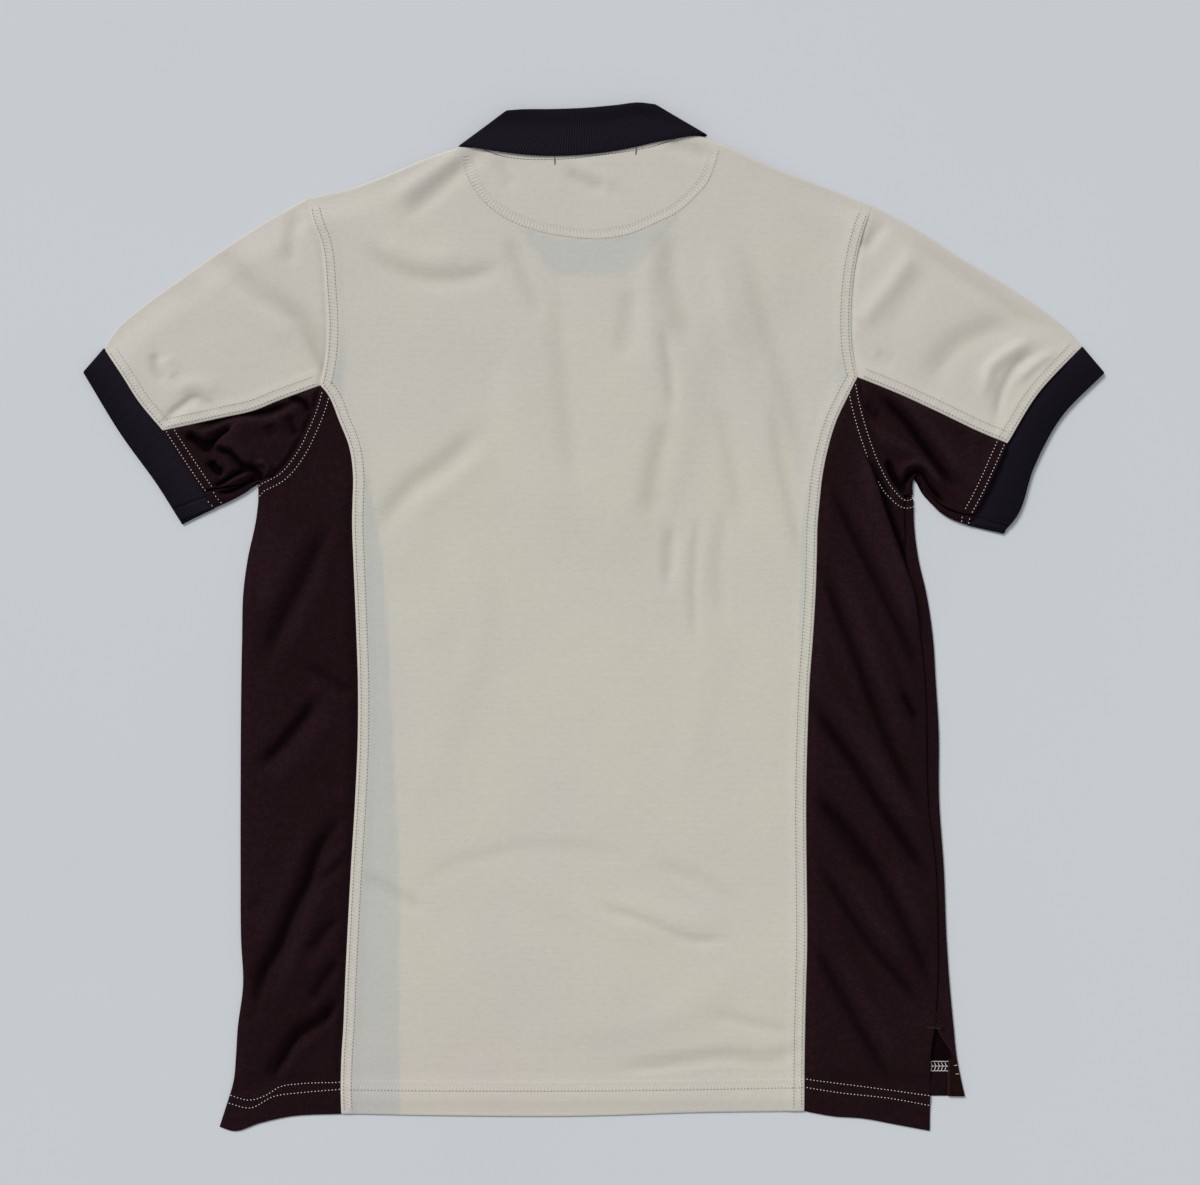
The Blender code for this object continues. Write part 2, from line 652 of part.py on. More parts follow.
def make_back_side(side):
    """Back side panel: a wedge under the arm that widens to the hem."""
    runs = SIDES[side]
    if side == "left":
        outer = np.concatenate([runs["low"], runs["edge"], runs["hem"][-1:]])
    else:
        halfway = (runs["low"][-2] + runs["side_seam"][0]) / 2
        outer = np.concatenate([runs["low"][:-1], halfway[None], runs["side_seam"], runs["hem"][-1:]])
    outer, inner = wedge(outer, runs["seam"], BACK_WEDGE_START)
    share = np.linspace(0, 1, SIDE_COLUMNS)[:, None]
    grid = patch(inner[0] + share * (outer[0] - inner[0]), runs["hem"], inner, outer)
    folded = np.arange(len(grid)) >= ARMPIT_ROWS - 1
    if side == "right":
        folded[:] = False
    moved = inset(grid, "tl")
    moved[~folded, -1] = inset(moved, "r")[~folded, -1]
    if side == "left":
        moved[ARMPIT_ROWS - 1, -1, 1] -= ARMPIT_ROOM
    across = np.swapaxes(moved, 0, 1)[::-1]
    edge = edge_rows(across[0], across[1], BACK_TURN, folded)
    wall("back_side_" + side, np.concatenate([edge, raise_to(across[1:], back_height)]), CLOTH, brown())


def rolled_edge(edge, inside, strip, folded):
    """Rows of a front panel that goes round its edge and lies on the back as far as the strip's line."""
    top, low = back_height(edge), front_height(edge)
    turned = turned_edge(edge, inside, HALF_TURN, top, low)
    turned = np.concatenate([raise_to(strip, back_height)[None], turned])
    return np.where(folded[None, :, None], turned, plain_edge(edge, inside, len(turned), low))


def make_front_side(side):
    """Front side panel. The right one goes round the edge to its seam on the back."""
    runs = SIDES[side]
    outer = np.concatenate([runs["armhole"][FRONT_APEX:], runs["low"][1:], runs["edge"]])
    outer, inner = wedge(outer, runs["front_seam"], FRONT_WEDGE_START)
    share = np.linspace(0, 1, SIDE_COLUMNS - 1)[:, None]
    top = inner[0] + share * (outer[0] - inner[0])
    grid = patch(top, inner[-1] + share * (outer[-1] - inner[-1]), inner, outer)
    armpit = ARMHOLE_ROWS - FRONT_APEX + ARMPIT_ROWS - 2
    folded = np.arange(len(grid)) >= armpit
    moved = inset(grid, "tl")
    moved[~folded, -1] = inset(moved, "r")[~folded, -1]
    moved[armpit, -1, 1] -= ARMPIT_ROOM
    moved[armpit - 1, -1] += HALF_GAP * square_to(grid[:, -1], grid[:, -2])[armpit - 1]
    across = np.swapaxes(moved, 0, 1)[::-1]
    if side == "left":
        edge = edge_rows(across[0], across[1], FRONT_TURN, folded)
    else:
        strip = across[0].copy()
        strip[armpit] = runs["low"][-2] + [HALF_GAP, -ARMPIT_ROOM]
        strip[armpit + 1:] = runs["side_seam"] + [HALF_GAP, 0]
        strip[-2:, 0] = ROLLED_FRONT_BELOW_VENT
        edge = rolled_edge(across[0], across[1], strip, folded)
    wall("front_side_" + side, np.concatenate([edge, raise_to(across[1:], front_height)]), CLOTH, brown())


def make_sleeve(side):
    """Upper sleeve folded over its top edge, under sleeve back, and under sleeve front with a rolled edge."""
    runs, low = SLEEVE_RUNS[side], SIDES[side]["low"]
    upper = inset(patch(runs["top"], runs["seam"], SIDES[side]["armhole"], runs["cuff"]), "blr")
    fold = turned_edge(upper[0], upper[1], HALF_TURN, back_height(upper[0]), front_height(upper[0]))
    back, front = raise_to(upper[:0:-1], back_height), raise_to(upper[1:], front_height)
    wall("sleeve_upper_" + side, np.concatenate([back, fold, front]), CLOTH, pale())

    under = inset(patch(runs["seam"], runs["underarm"], low[:-1], runs["cuff_low"][:-1]), "tblr")
    wall("under_sleeve_back_" + side, raise_to(under, back_height), CLOTH, brown())

    grid = inset(patch(runs["seam"], runs["under"], low, runs["cuff_low"]), "tlr")[::-1]
    strip = runs["underarm"] + HALF_GAP * square_to(runs["underarm"], runs["under"])
    strip[0] += (grid[0, 0] - runs["under"][0])
    strip[-1] += (grid[0, -1] - runs["under"][-1])
    edge = rolled_edge(grid[0], grid[1], strip, np.ones(len(strip), bool))
    points = np.concatenate([edge, raise_to(grid[1:], front_height)])
    wall("under_sleeve_front_" + side, points, CLOTH, brown())


def make_cuff(side):
    """Band of rib round the end of the sleeve, pressed flat."""
    runs = SLEEVE_RUNS[side]
    inner = join(runs["cuff"], runs["cuff_low"])
    share = np.linspace(0, 1, 3)[:, None]
    first = inner[0] + share * (runs["band"][0] - inner[0])
    last = inner[-1] + share * (runs["band"][-1] - inner[-1])
    grid = inset(patch(inner, runs["band"], first, last), "t")
    low = np.full(3, RIB / 2)
    top = low + RIB + GAP
    start = turned_edge(grid[:, 0], grid[:, 1], HALF_TURN, top, low, RIB)[::-1]
    end = turned_edge(grid[:, -1], grid[:, -2], HALF_TURN, top, low, RIB)
    back = np.swapaxes(raise_to(grid[:, 1:-1], lambda plan: np.full(plan.shape[:-1], top[0])), 0, 1)
    front = np.swapaxes(raise_to(grid[:, -2:0:-1], lambda plan: np.full(plan.shape[:-1], low[0])), 0, 1)
    ring = np.concatenate([start, back, end, front])
    wall("cuff_" + side, np.swapaxes(ring, 0, 1), RIB, rib(), closed=True)


def collar_section(seam, fold, edge, angle, outward):
    """Points of one section, up the stand, round the fold and down the fall.
    The angle is 0 on the back, 180 on the front and between where the collar turns over the shoulder."""
    rise = (fold - seam) / np.linalg.norm(fold - seam)
    points = [(seam + share * (fold - seam), STAND_OFFSET) for share in (0, 0.5, 1)]
    for turn in np.radians((45, 90, 135)):
        bulge = fold + rise * FOLD_BULGE * np.sin(turn)
        points.append((bulge, STAND_OFFSET + FOLD_BULGE * (1 - np.cos(turn))))
    points += [(fold + share * (edge - fold), FALL_OFFSET) for share in (0, 1 / 3, 2 / 3, 1)]
    turned = np.radians(angle)
    section = []
    for plan, offset in points:
        moved = plan + offset * np.sin(turned) * outward
        section.append([*moved, COLLAR_MIDDLE + offset * np.cos(turned)])
    return section


def leaf_sections(side):
    """Sections of the collar at the front, from the shoulder to the placket, whose top edge it clears."""
    end = NECK_LEFT if side == "left" else NECK_RIGHT
    reach, tilt = end[0] - NECK_LOW[0], end[1] - NECK_LEFT[1]
    placket_top = max(neckline(part, placket_share(part))[1] for part in ("left", "right"))
    sections = []
    for seam, fold, fold_y, edge, edge_y in zip(*LEAF.values()):
        start = neckline(side, seam)
        start[1] = max(start[1], placket_top) + GAP
        fold_place = np.array([NECK_LOW[0] + fold * reach, fold_y + fold * tilt])
        edge_place = np.array([NECK_LOW[0] + edge * reach, edge_y + edge * tilt])
        sections.append(collar_section(start, fold_place, edge_place, 180, np.zeros(2)))
    return sections


def make_collar():
    """One strip of rib: leaf, crease over the shoulder, back, crease and leaf, folded along its middle."""
    back = [np.array(pair) for pair in zip(COLLAR_BACK["fold_x"], COLLAR_BACK["fold_y"])]
    edge = [np.array(pair) for pair in zip(COLLAR_BACK["edge_x"], COLLAR_BACK["edge_y"])]
    neck = path(NECK_SEAM, NECK_COLUMNS)
    neck = neck + HALF_GAP * square_to(neck, np.array(back))
    neck[0], neck[-1] = STAND_CORNERS
    sections = leaf_sections("left")[::-1]
    for place, angles in ((0, (180, 135, 90, 45, 0)), (-1, (0, 45, 90, 135, 180))):
        crease = back[place] - edge[place]
        outward = np.array([-crease[1], crease[0]]) / np.linalg.norm(crease)
        outward = outward if place == 0 else -outward
        turns = [collar_section(neck[place], back[place], edge[place], angle, outward) for angle in angles]
        sections += turns
        if place == 0:
            for n in range(1, NECK_COLUMNS - 1):
                sections.append(collar_section(neck[n], back[n], edge[n], 0, outward))
    sections += leaf_sections("right")
    wall("collar", np.swapaxes(np.array(sections), 0, 1), RIB, rib())


def pale():
    return material_of("pale_knit", PALE, 0.85)


def brown():
    return material_of("brown_knit", BROWN, 0.7)


def rib():
    return material_of("black_rib", BLACK, 0.8)


bpy.context.scene.unit_settings.scale_length = 1
for old in list(bpy.data.objects):
    bpy.data.objects.remove(old, do_unlink=True)

SIDES = {side: side_runs(side) for side in ("left", "right")}
SLEEVE_RUNS = {side: sleeve_runs(side) for side in ("left", "right")}
FOLDED_EDGES = [path(SHOULDERS["left"], 8), path(SHOULDERS["right"], 8)]
for side in ("left", "right"):
    FOLDED_EDGES += [SLEEVE_RUNS[side]["top"], SLEEVE_RUNS[side]["under"], SIDES[side]["edge"]]

make_back_body()
_, _, placket_line = make_front_body()
make_buttons(placket_line)
make_half_moon()
make_collar()
for side in ("left", "right"):
    make_back_side(side)
    make_front_side(side)
    make_sleeve(side)
    make_cuff(side)
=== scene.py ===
# A polo shirt laid flat with its back up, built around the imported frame.
# Plan sizes are millimetres until a mesh is made: x across the shirt, y from hem to collar, z up.
import bpy
import numpy as np
from functools import partial
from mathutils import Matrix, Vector


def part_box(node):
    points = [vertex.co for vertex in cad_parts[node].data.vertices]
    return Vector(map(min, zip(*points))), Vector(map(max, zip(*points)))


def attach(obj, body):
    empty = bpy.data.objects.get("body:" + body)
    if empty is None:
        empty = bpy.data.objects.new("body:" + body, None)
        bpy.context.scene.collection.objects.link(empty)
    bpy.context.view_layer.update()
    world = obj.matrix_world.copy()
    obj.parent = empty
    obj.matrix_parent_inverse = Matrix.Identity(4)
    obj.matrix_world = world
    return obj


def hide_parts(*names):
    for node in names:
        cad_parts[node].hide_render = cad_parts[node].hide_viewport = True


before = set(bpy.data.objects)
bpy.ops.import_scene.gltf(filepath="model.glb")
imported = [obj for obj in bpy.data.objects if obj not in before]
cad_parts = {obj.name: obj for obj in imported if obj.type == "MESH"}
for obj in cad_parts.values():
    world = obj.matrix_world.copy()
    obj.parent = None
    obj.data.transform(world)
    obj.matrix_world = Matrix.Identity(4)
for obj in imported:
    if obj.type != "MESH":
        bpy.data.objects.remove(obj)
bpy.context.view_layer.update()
print("frame loaded")

cloth = {"thickness": 0.9, "rib": 1.5, "gap": 0.3}
layers = {
    "front": 0.55, "raisedFront": 2.35, "over": 1.4, "air": 2.6, "airReach": 26, "neck": 5.9,
    "clear": 1.06, "facing": 0.8, "lap": 1.2, "step": 0.5, "lapReach": 18, "edgeFold": 8, "puff": 2.4,
}
# Where the front is raised: over the collar's leaves and over the placket
raisedPlaces = (((-3.0, 322.0), 128.0, 104.0), ((5.0, 200.0), 62.0, 108.0))
moon = {"centre": (-5.4, 374.0), "halfWidth": 100.0, "depth": 71.6, "power": 2.1}
neckLeft, neckRight, neckLow = (-107.0, 376.0), (87.6, 384.4), (5.0, 271.2)
hemLine = {"front": -382.8, "backLeaves": -383.4, "touches": -398.5}
underArm = 94.0  # where the lines of the sides start, going down
# Angles of the rows round a fold: from the back layer to its edge, from there to the front, and all the way
backFold, frontFold, wholeFold = (0, 22, 45, 62), (118, 135, 158, 180), (0, 30, 60, 90, 120, 150, 180)
sleeveFold = (0, 20, 45, 70, 90, 110, 135, 160, 180)
drawnIn = -0.5  # an edge is moved in by this much where two of them meet at a fold


def table(columns, rows):
    # Rows of numbers as named columns
    return dict(zip(columns.split(), np.array(rows, float).T))


# Sections of the body from under the arms to the hem
bodyLines = table("y leftEdge leftSeam rightSeam sideSeam rightEdge", [
    (94, -268.6, -192.2, 180.2, 247.0, 256.2),
    (78, -270.6, -192.6, 178.7, 247.6, 256.4),
    (46, -277.4, -191.6, 177.8, 250.2, 260.2),
    (22, -280.6, -190.6, 177.0, 254.6, 265.8),
    (-18, -281.8, -189.0, 174.6, 261.0, 271.8),
    (-50, -282.4, -188.0, 172.2, 264.2, 273.8),
    (-90, -282.8, -188.0, 170.6, 265.4, 276.2),
    (-146, -283.0, -190.2, 169.4, 266.6, 276.6),
    (-202, -283.0, -193.6, 169.8, 273.0, 280.4),
    (-258, -282.6, -196.6, 170.2, 274.6, 282.6),
    (-294, -281.0, -198.4, 169.4, 274.4, 285.0),
    (-330, -285.4, -200.0, 168.7, 271.6, 288.4),
    (-350, -286.6, -201.4, 168.5, 268.9, 290.4),
    (-370, -288.4, -202.1, 168.3, 268.8, 294.2),
    (-400, -297.6, -201.8, 168.2, 269.4, 301.4),
])
frontSeams = table("y left right", [
    (174, -199, 194), (134, -184.5, 180), (94, -175.6, 169), (66, -170.4, 165.4), (46, -167, 165),
    (-18, -163, 164), (-146, -156.6, 164), (-202, -154.2, 164), (-382.8, -154.2, 164),
])
armholes = {
    "left": [
        (-229.4, 335.6), (-225.4, 318.8), (-218.4, 300), (-214.2, 262), (-212.6, 230),
        (-214.6, 203.6), (-218.2, 186),
    ],
    "right": [(223.4, 329.6), (216, 311), (209, 282), (205.4, 240), (206.2, 216), (210.6, 192.4)],
}
lowArmholes = {
    "left": [(-218.2, 186), (-222.4, 170), (-230, 151), (-240, 131.6), (-252, 117), (-268.6, 108.4)],
    "right": [
        (210.6, 192.4), (214.4, 172), (222, 145), (232, 119.6), (243, 101.6), (249.6, 96), (255.6, 98),
    ],
}
backSeams = {
    "left": [
        (-218.2, 186), (-210.6, 175.6), (-203.4, 158), (-195, 136.4), (-191.8, 112), (-192.2, 94),
    ],
    "right": [(210.6, 192.4), (203.4, 178), (193.4, 157), (186, 132), (181.6, 108), (180.2, 94)],
}
shoulders = {
    "left": [(-229.4, 335.6), (-194, 343.6), (-168, 353), (-132, 367.6), neckLeft],
    "right": [neckRight, (106, 377), (146, 359), (184, 345), (223.4, 329.6)],
}
neckSeam = [neckLeft, (-84, 374.4), (-50, 371.4), (-10, 372.2), (36, 378.8), (70, 384.6), neckRight]
neckLine = [
    (-88, 373.4), (-76, 369.2), (-60, 366.3), (-44, 365.5), (-26, 365.8), (5, 369.0), (33, 373.0), (52, 377.4),
    (66, 382.6),
]
moonSeam = [
    (-107, 373), (-102, 355.3), (-92, 337), (-70, 318.7), (-51.7, 310.9), (-24, 304.6), (5, 302.6), (28.6, 306.4),
    (49.8, 315.2), (66.2, 323.4), (80.4, 335.8), (89.8, 346.4), (98.1, 366.4), (100.6, 375.4),
]
hems = {
    "back": [(-201.8, -397.2), (-129, -398.6), (-10, -399), (90.6, -396), (168.2, -395)],
    "left": [(-299.8, -407.6), (-289, -411), (-268, -404.8), (-246, -399.8), (-201.8, -397.2)],
    "right": [(168.2, -395), (193, -399.4), (214, -400.8), (243, -406), (268.8, -410.8)],
}
sleeves = {
    "left": {
        "top": [
            (-229.4, 335.6), (-267, 314), (-299, 293.2), (-331, 270.8), (-363, 247.6), (-381, 232),
            (-392.6, 215.6),
        ],
        "seam": [(-218.2, 186), (-251, 174), (-272, 165.6), (-299, 159.6), (-344.6, 149.6)],
        "under": [(-268.6, 108.4), (-276, 102), (-287, 95.4), (-303.6, 87.6)],
        "cuff": [(-392.6, 215.6), (-379, 196.4), (-363, 171.6), (-344.6, 149.6)],
        "cuffLow": [(-344.6, 149.6), (-331, 128.4), (-315, 104.4), (-303.6, 87.6)],
        "band": [(-408.6, 197.2), (-379, 148.4), (-347, 103.6), (-330.2, 76.8)],
        "rise": (5.0, 14.0), "meets": (0.9, 0.8), "grain": 34,
    },
    "right": {
        "top": [
            (223.4, 329.6), (261, 309.2), (293, 288.4), (325, 269.2), (357, 247.6), (381, 228.4),
            (391.4, 216.8),
        ],
        "seam": [(210.6, 192.4), (245, 178.4), (277, 163.6), (309, 148.4), (330.6, 139.4)],
        "under": [
            (255.6, 98), (255.8, 109), (259, 115), (262.4, 109), (265.4, 99), (270, 92), (276.6, 85),
            (284, 80), (293, 76), (299.4, 74),
        ],
        "cuff": [(391.4, 216.8), (373, 198.8), (357, 181.2), (330.6, 139.4)],
        "cuffLow": [(330.6, 139.4), (321, 118), (309, 92.4), (299.4, 74)],
        "band": [(408.6, 196.4), (373, 159.6), (352, 121), (337, 79.6), (328.2, 69.2)],
        "rise": (1.2, 4.8), "meets": (0.9, 0.89), "grain": -34,
    },
}

# Creases: each is a line of points, its height (a trough is below 0), and its width on its left and right
creases = {
    "pale": [
        ([(-88, 373), (-106, 358), (-124, 342), (-150, 320)], -2.0, 6, 8),
        ([(-104, 374), (-128, 356), (-160, 334)], 1.6, 7, 6),
        ([(-182, 296), (-157, 278), (-123, 270), (-98, 272.5), (-72, 281)], -1.9, 7, 7),
        ([(-170, 300), (-140, 288), (-104, 288)], 1.0, 9, 9),
        ([(-68, 304), (-52, 262), (-40, 238)], -1.4, 7, 6),
        ([(-76, 366), (-68, 350), (-66, 342)], -0.9, 5, 5),
        ([(-20.6, 357), (-8, 349), (9, 342)], -1.6, 4, 6),
        ([(-14, 363), (4, 353), (20, 346)], 0.8, 6, 6),
        ([(58, 379), (76, 374), (94, 368)], -1.5, 5, 6),
        ([(61, 306), (62, 268), (70, 236), (76, 214)], -1.9, 8, 10),
        ([(55, 232), (61, 197), (63, 164)], -1.5, 4, 5),
        ([(58, 158), (53, 132), (48, 108), (44, 78)], -1.9, 9, 9),
        ([(62, 74), (63, 52), (60, 30)], -1.1, 4, 5),
        ([(44, 300), (44, 240), (50, 190)], 0.9, 8, 8),
        ([(84, 80), (80, 20), (82, -20)], -1.0, 3.5, 4.5),
        ([(60, 66), (58, 40), (62, 20)], -0.9, 5, 5),
        ([(29, 262), (24, 206)], -1.1, 8, 8),
        ([(-30, 262), (-24, 187), (-15, 98)], -1.0, 9, 9),
        ([(120, 296), (133, 246), (152, 187), (169, 118)], -1.4, 9, 8),
        ([(96, 300), (108, 240), (126, 180)], 1.0, 9, 9),
        ([(142, 172), (152, 118), (169, 40)], -1.3, 6, 6),
        ([(100, 170), (112, 120), (118, 70)], -0.9, 7, 7),
        ([(106, 90), (100, 40), (104, 0)], -0.8, 7, 7),
        ([(-92, 148), (-118, 123), (-147, 103), (-172, 70)], -1.8, 9, 9),
        ([(-84, 134), (-112, 108), (-146, 82)], 0.5, 10, 10),
        ([(-136, -212), (-119, -201), (-89, -191), (-50, -184), (-11, -184), (30, -192)], -0.55, 6, 8),
        ([(-183, -206), (-158, -221), (-134, -235)], -1.2, 5, 6),
        ([(4, -230), (49, -245), (84, -258), (106, -256)], -1.2, 3, 4.5),
        ([(20, -226), (60, -238), (100, -246)], 0.5, 8, 7),
        ([(50, -196), (90, -212), (120, -232)], -0.7, 6, 6),
        ([(24, -361), (64, -356), (108, -351), (142, -353), (166, -346)], -2.2, 5, 4.5),
        ([(95, -318), (130, -326), (158, -332)], -0.8, 5, 5),
        ([(-150, 20), (-120, -60), (-130, -140)], 0.7, 18, 22),
    ],
    "sleeves": [
        ([(-299, 290), (-281, 275), (-264, 257), (-244, 246), (-229, 233), (-217, 211), (-211, 192)], -2.4, 9, 9),
        ([(-254, 247), (-238, 240), (-226, 226), (-217, 204), (-213, 186)], -1.0, 4, 4),
        ([(-290, 262), (-262, 240), (-240, 222)], 0.9, 10, 10),
        ([(-237, 323), (-242, 301), (-242, 281)], -1.5, 6, 6),
        ([(-346, 154), (-331, 168), (-317, 176), (-307, 170.5), (-298, 164)], -1.8, 3.2, 4.5),
        ([(-336, 180), (-318, 187), (-300, 181)], 1.0, 6, 5),
        ([(-351, 212), (-349, 198), (-342, 189)], -1.7, 4, 4),
        ([(-342, 208), (-336, 192)], 1.0, 5, 5),
        ([(-310, 268), (-330, 250)], -0.7, 10, 10),
        ([(230, 318), (223, 304), (216, 293)], -2.4, 5, 6),
        ([(249, 305), (284, 283), (320, 259), (350, 239), (368, 232)], -1.8, 6, 9),
        ([(256, 293), (239, 268), (223, 248), (212, 232)], 1.9, 8, 7),
        ([(266, 278), (250, 256), (236, 230)], -0.7, 9, 9),
        ([(337, 236), (311, 228), (293, 219), (280, 206), (269, 186)], -1.9, 8, 11),
        ([(350, 222), (330, 211), (317, 200), (312, 176)], 2.2, 6, 5),
        ([(352, 212), (337, 200), (328, 184), (321, 156)], -1.6, 3.2, 4),
        ([(368, 213), (350, 200), (339, 189)], 1.5, 3.5, 3.5),
        ([(225, 211), (240, 202)], -0.9, 6, 6),
    ],
    "leftUnder": [
        ([(-330, 150), (-322, 149), (-311, 147.5), (-303, 149.8), (-294, 153.6), (-285.5, 156.6), (-272, 157.2),
          (-257.4, 158), (-247, 162.4), (-237.2, 167.7), (-231, 167)], 3.8, 2.2, 8),
        ([(-322, 155.5), (-308, 155), (-296, 159.5), (-284, 162.5), (-262, 164), (-248, 169), (-238, 174)],
         -4.6, 4.6, 3.0),
        ([(-244, 177), (-236, 174), (-230, 170), (-228, 162)], -4.6, 3.2, 3.2),
        ([(-243, 162), (-240.5, 152), (-237, 144)], -3.0, 4, 4),
        ([(-326, 146.5), (-317.6, 142), (-311, 137.4), (-304.6, 133.6)], -7.6, 4.4, 3.8),
        ([(-309, 134), (-303.6, 140), (-295.6, 146.6), (-287.6, 152)], -6.0, 4.8, 2.2),
        ([(-281.7, 155.2), (-288.5, 148.9), (-294.3, 143.1), (-300, 136.5)], 2.8, 10, 1.8),
        ([(-303, 137), (-293.3, 138.4), (-287.5, 135.4), (-281.6, 129.5), (-276.5, 124.6), (-270, 122.6)],
         2.2, 8, 1.6),
        ([(-302, 133.4), (-295, 134), (-289.3, 131.6), (-284.6, 126.8), (-280.2, 121.8), (-272, 117.4)],
         -4.4, 1.8, 4),
        ([(-306.6, 125.4), (-303.6, 120.6), (-300, 117.4), (-295.4, 115.6)], -7.4, 3.4, 3.4),
        ([(-297.6, 128), (-291.6, 122), (-289.6, 115)], 1.4, 3.4, 5),
        ([(-303.4, 104.6), (-296.3, 107.4), (-288.5, 112.6), (-280.7, 116.6), (-275, 119.6)], -5.4, 2.2, 1.6),
        ([(-300, 101.8), (-291.4, 107), (-281.7, 111.6), (-274, 115.2)], 3.0, 2.2, 2.2),
        ([(-301, 100.2), (-292.4, 100.6), (-284.6, 103.8), (-276.9, 108.2), (-269.6, 112.8)], -5.8, 1.8, 1.8),
        ([(-277.6, 121.4), (-271.4, 118), (-267.4, 113.4), (-266.6, 109)], -7.2, 3, 3),
        ([(-268, 123.6), (-262.4, 122.8), (-258.8, 118.4), (-261.4, 112.6), (-264.4, 108.4)], 4.4, 2.2, 1.8),
        ([(-260, 154), (-256, 144)], -2.3, 5, 5),
    ],
    "rightUnder": [
        ([(227, 180), (238, 169), (250, 157), (260, 143), (268, 131), (280, 115), (292, 103)], -4.2, 4.5, 5),
        ([(240, 180), (264, 153), (284, 128), (298, 107)], 3.2, 12, 6),
        ([(219, 150), (232, 145), (243, 139), (255, 132), (268, 120), (278, 104)], 3.6, 4, 7),
        ([(216, 172), (222, 163), (230, 161)], -2.6, 5, 5),
        ([(234.4, 127), (236.4, 119), (240, 111.4), (244.4, 105), (250, 99.6)], -7.0, 3.2, 3.2),
        ([(244, 110), (249.7, 121), (258, 122.6), (266, 118.6), (272.6, 111.4), (281, 102.6)], 3.0, 3.4, 2.2),
        ([(248.4, 103), (250, 110.6), (254.6, 115.6), (259.8, 117.2), (264, 113.6), (267.4, 107.2), (273.4, 99),
          (281, 90.8)], -5.4, 2.4, 2.4),
        ([(298, 148), (307, 124), (302, 98)], 1.2, 8, 9),
        ([(292, 150), (300, 132)], -1.4, 5, 6),
        ([(306, 140), (312, 122)], -1.0, 5, 5),
    ],
    "leftSide": [
        ([(-212, 76), (-232, 30), (-245, 6), (-256, -16), (-266, -40)], -3.2, 7, 8),
        ([(-205, 60), (-222, 24), (-236, -6), (-252, -36)], 1.6, 10, 8),
        ([(-234, 70), (-248, 36), (-260, 6)], 1.2, 8, 9),
        ([(-196, 62), (-206, 44), (-204, 28)], -1.4, 7, 7),
        ([(-229, -36), (-215, -46), (-203, -54), (-189, -60)], -2.6, 5, 6),
        ([(-226, -52), (-208, -62), (-192, -70)], 1.2, 7, 7),
        ([(-221, -64), (-240, -90), (-254, -106), (-268, -120)], -4.1, 6, 5),
        ([(-206, -72), (-232, -104), (-262, -136)], 1.6, 10, 9),
        ([(-196, -156), (-210, -170), (-220, -186), (-228, -211), (-241, -237), (-251, -263), (-263, -283),
          (-272, -318)], -4.6, 4.2, 8),
        ([(-194, -176), (-210, -196), (-219, -220), (-231, -248), (-242, -276), (-256, -310)], 2.0, 8, 6),
        ([(-214, -164), (-234, -188), (-246, -220), (-258, -246), (-270, -264)], 1.4, 9, 9),
        ([(-199, -194), (-208, -202), (-221, -212)], -2.6, 4, 5),
        ([(-203, -238), (-214, -250), (-227, -269)], -2.8, 4, 5),
        ([(-203, -273), (-214, -288), (-227, -308)], -2.8, 4, 5),
        ([(-204, -256), (-216, -270), (-230, -286)], 1.2, 6, 6),
        ([(-204, -302), (-216, -322), (-236, -334), (-248, -352), (-262, -372)], -5.0, 4.4, 7),
        ([(-210, -320), (-226, -336), (-240, -350), (-250, -370)], 1.6, 6, 5),
        ([(-265, -224), (-276, -236)], -1.6, 6, 6),
        ([(-228, -134), (-214, -128), (-200, -134)], -1.2, 6, 7),
        ([(-250, 80), (-262, 40), (-264, 0)], 1.0, 9, 9),
    ],
    "rightSide": [
        ([(186, 112), (203, 74), (215, 50), (226, 28), (237, 6), (262, -52)], -3.4, 7, 3.4),
        ([(203, 104), (227, 52), (246, 14), (258, -16)], 1.8, 6, 8),
        ([(178, 52), (196, 2), (207, -26), (223, -70), (239, -110), (268, -166)], -3.6, 7, 4.2),
        ([(197, 40), (219, -22), (235, -64), (252, -108)], 1.8, 8, 8),
        ([(170, -60), (192, -94), (205, -112), (229, -150), (272, -214)], -4.0, 6, 6),
        ([(190, -62), (217, -102), (241, -140), (266, -176)], 1.8, 8, 8),
        ([(246, -60), (252, -70), (259, -82)], -2.6, 4, 5),
        ([(178, -140), (200, -180), (222, -208)], -2.0, 7, 7),
        ([(176, -138), (206, -172), (230, -208), (250, -248), (274, -306)], -3.4, 6, 7),
        ([(234, -192), (252, -228), (266, -262)], 1.6, 7, 7),
        ([(222, 2), (238, -30), (252, -72), (262, -98)], -1.6, 4, 2.6),
        ([(186, -24), (204, -66), (214, -84)], -1.3, 5, 3),
        ([(196, -236), (216, -282), (230, -312)], -1.2, 5, 3),
        ([(176, -192), (206, -240), (221, -262), (245, -290), (266, -318)], -3.2, 6, 3.6),
        ([(200, -204), (230, -250), (250, -276)], 1.6, 7, 7),
        ([(174, -256), (205, -314), (223, -346), (240, -376)], -3.2, 5.5, 6),
        ([(194, -268), (216, -306), (234, -336), (244, -352)], 1.4, 8, 7),
        ([(214, 134), (223.6, 108), (229.8, 86), (237.2, 66), (247, 40), (254, 21), (259, -8)], 4.2, 1.6, 9),
        ([(219.6, 128), (228.8, 106), (234.8, 86), (242, 66), (251.4, 40), (258.4, 19), (263.4, -8)],
         -6.6, 3.8, 1.6),
    ],
    "front": [
        ([(-120, 90), (-90, 20), (-110, -80)], 0.5, 12, 14),
        ([(60, 60), (90, -40), (70, -130)], 0.5, 14, 12),
        ([(-60, -200), (0, -240), (90, -250)], 0.6, 10, 14),
        ([(120, -280), (60, -320), (-40, -330)], 0.5, 12, 12),
        ([(-230, 20), (-250, -60), (-240, -140)], 0.6, 10, 10),
        ([(210, -20), (235, -110), (225, -200)], 0.6, 10, 10),
    ],
}


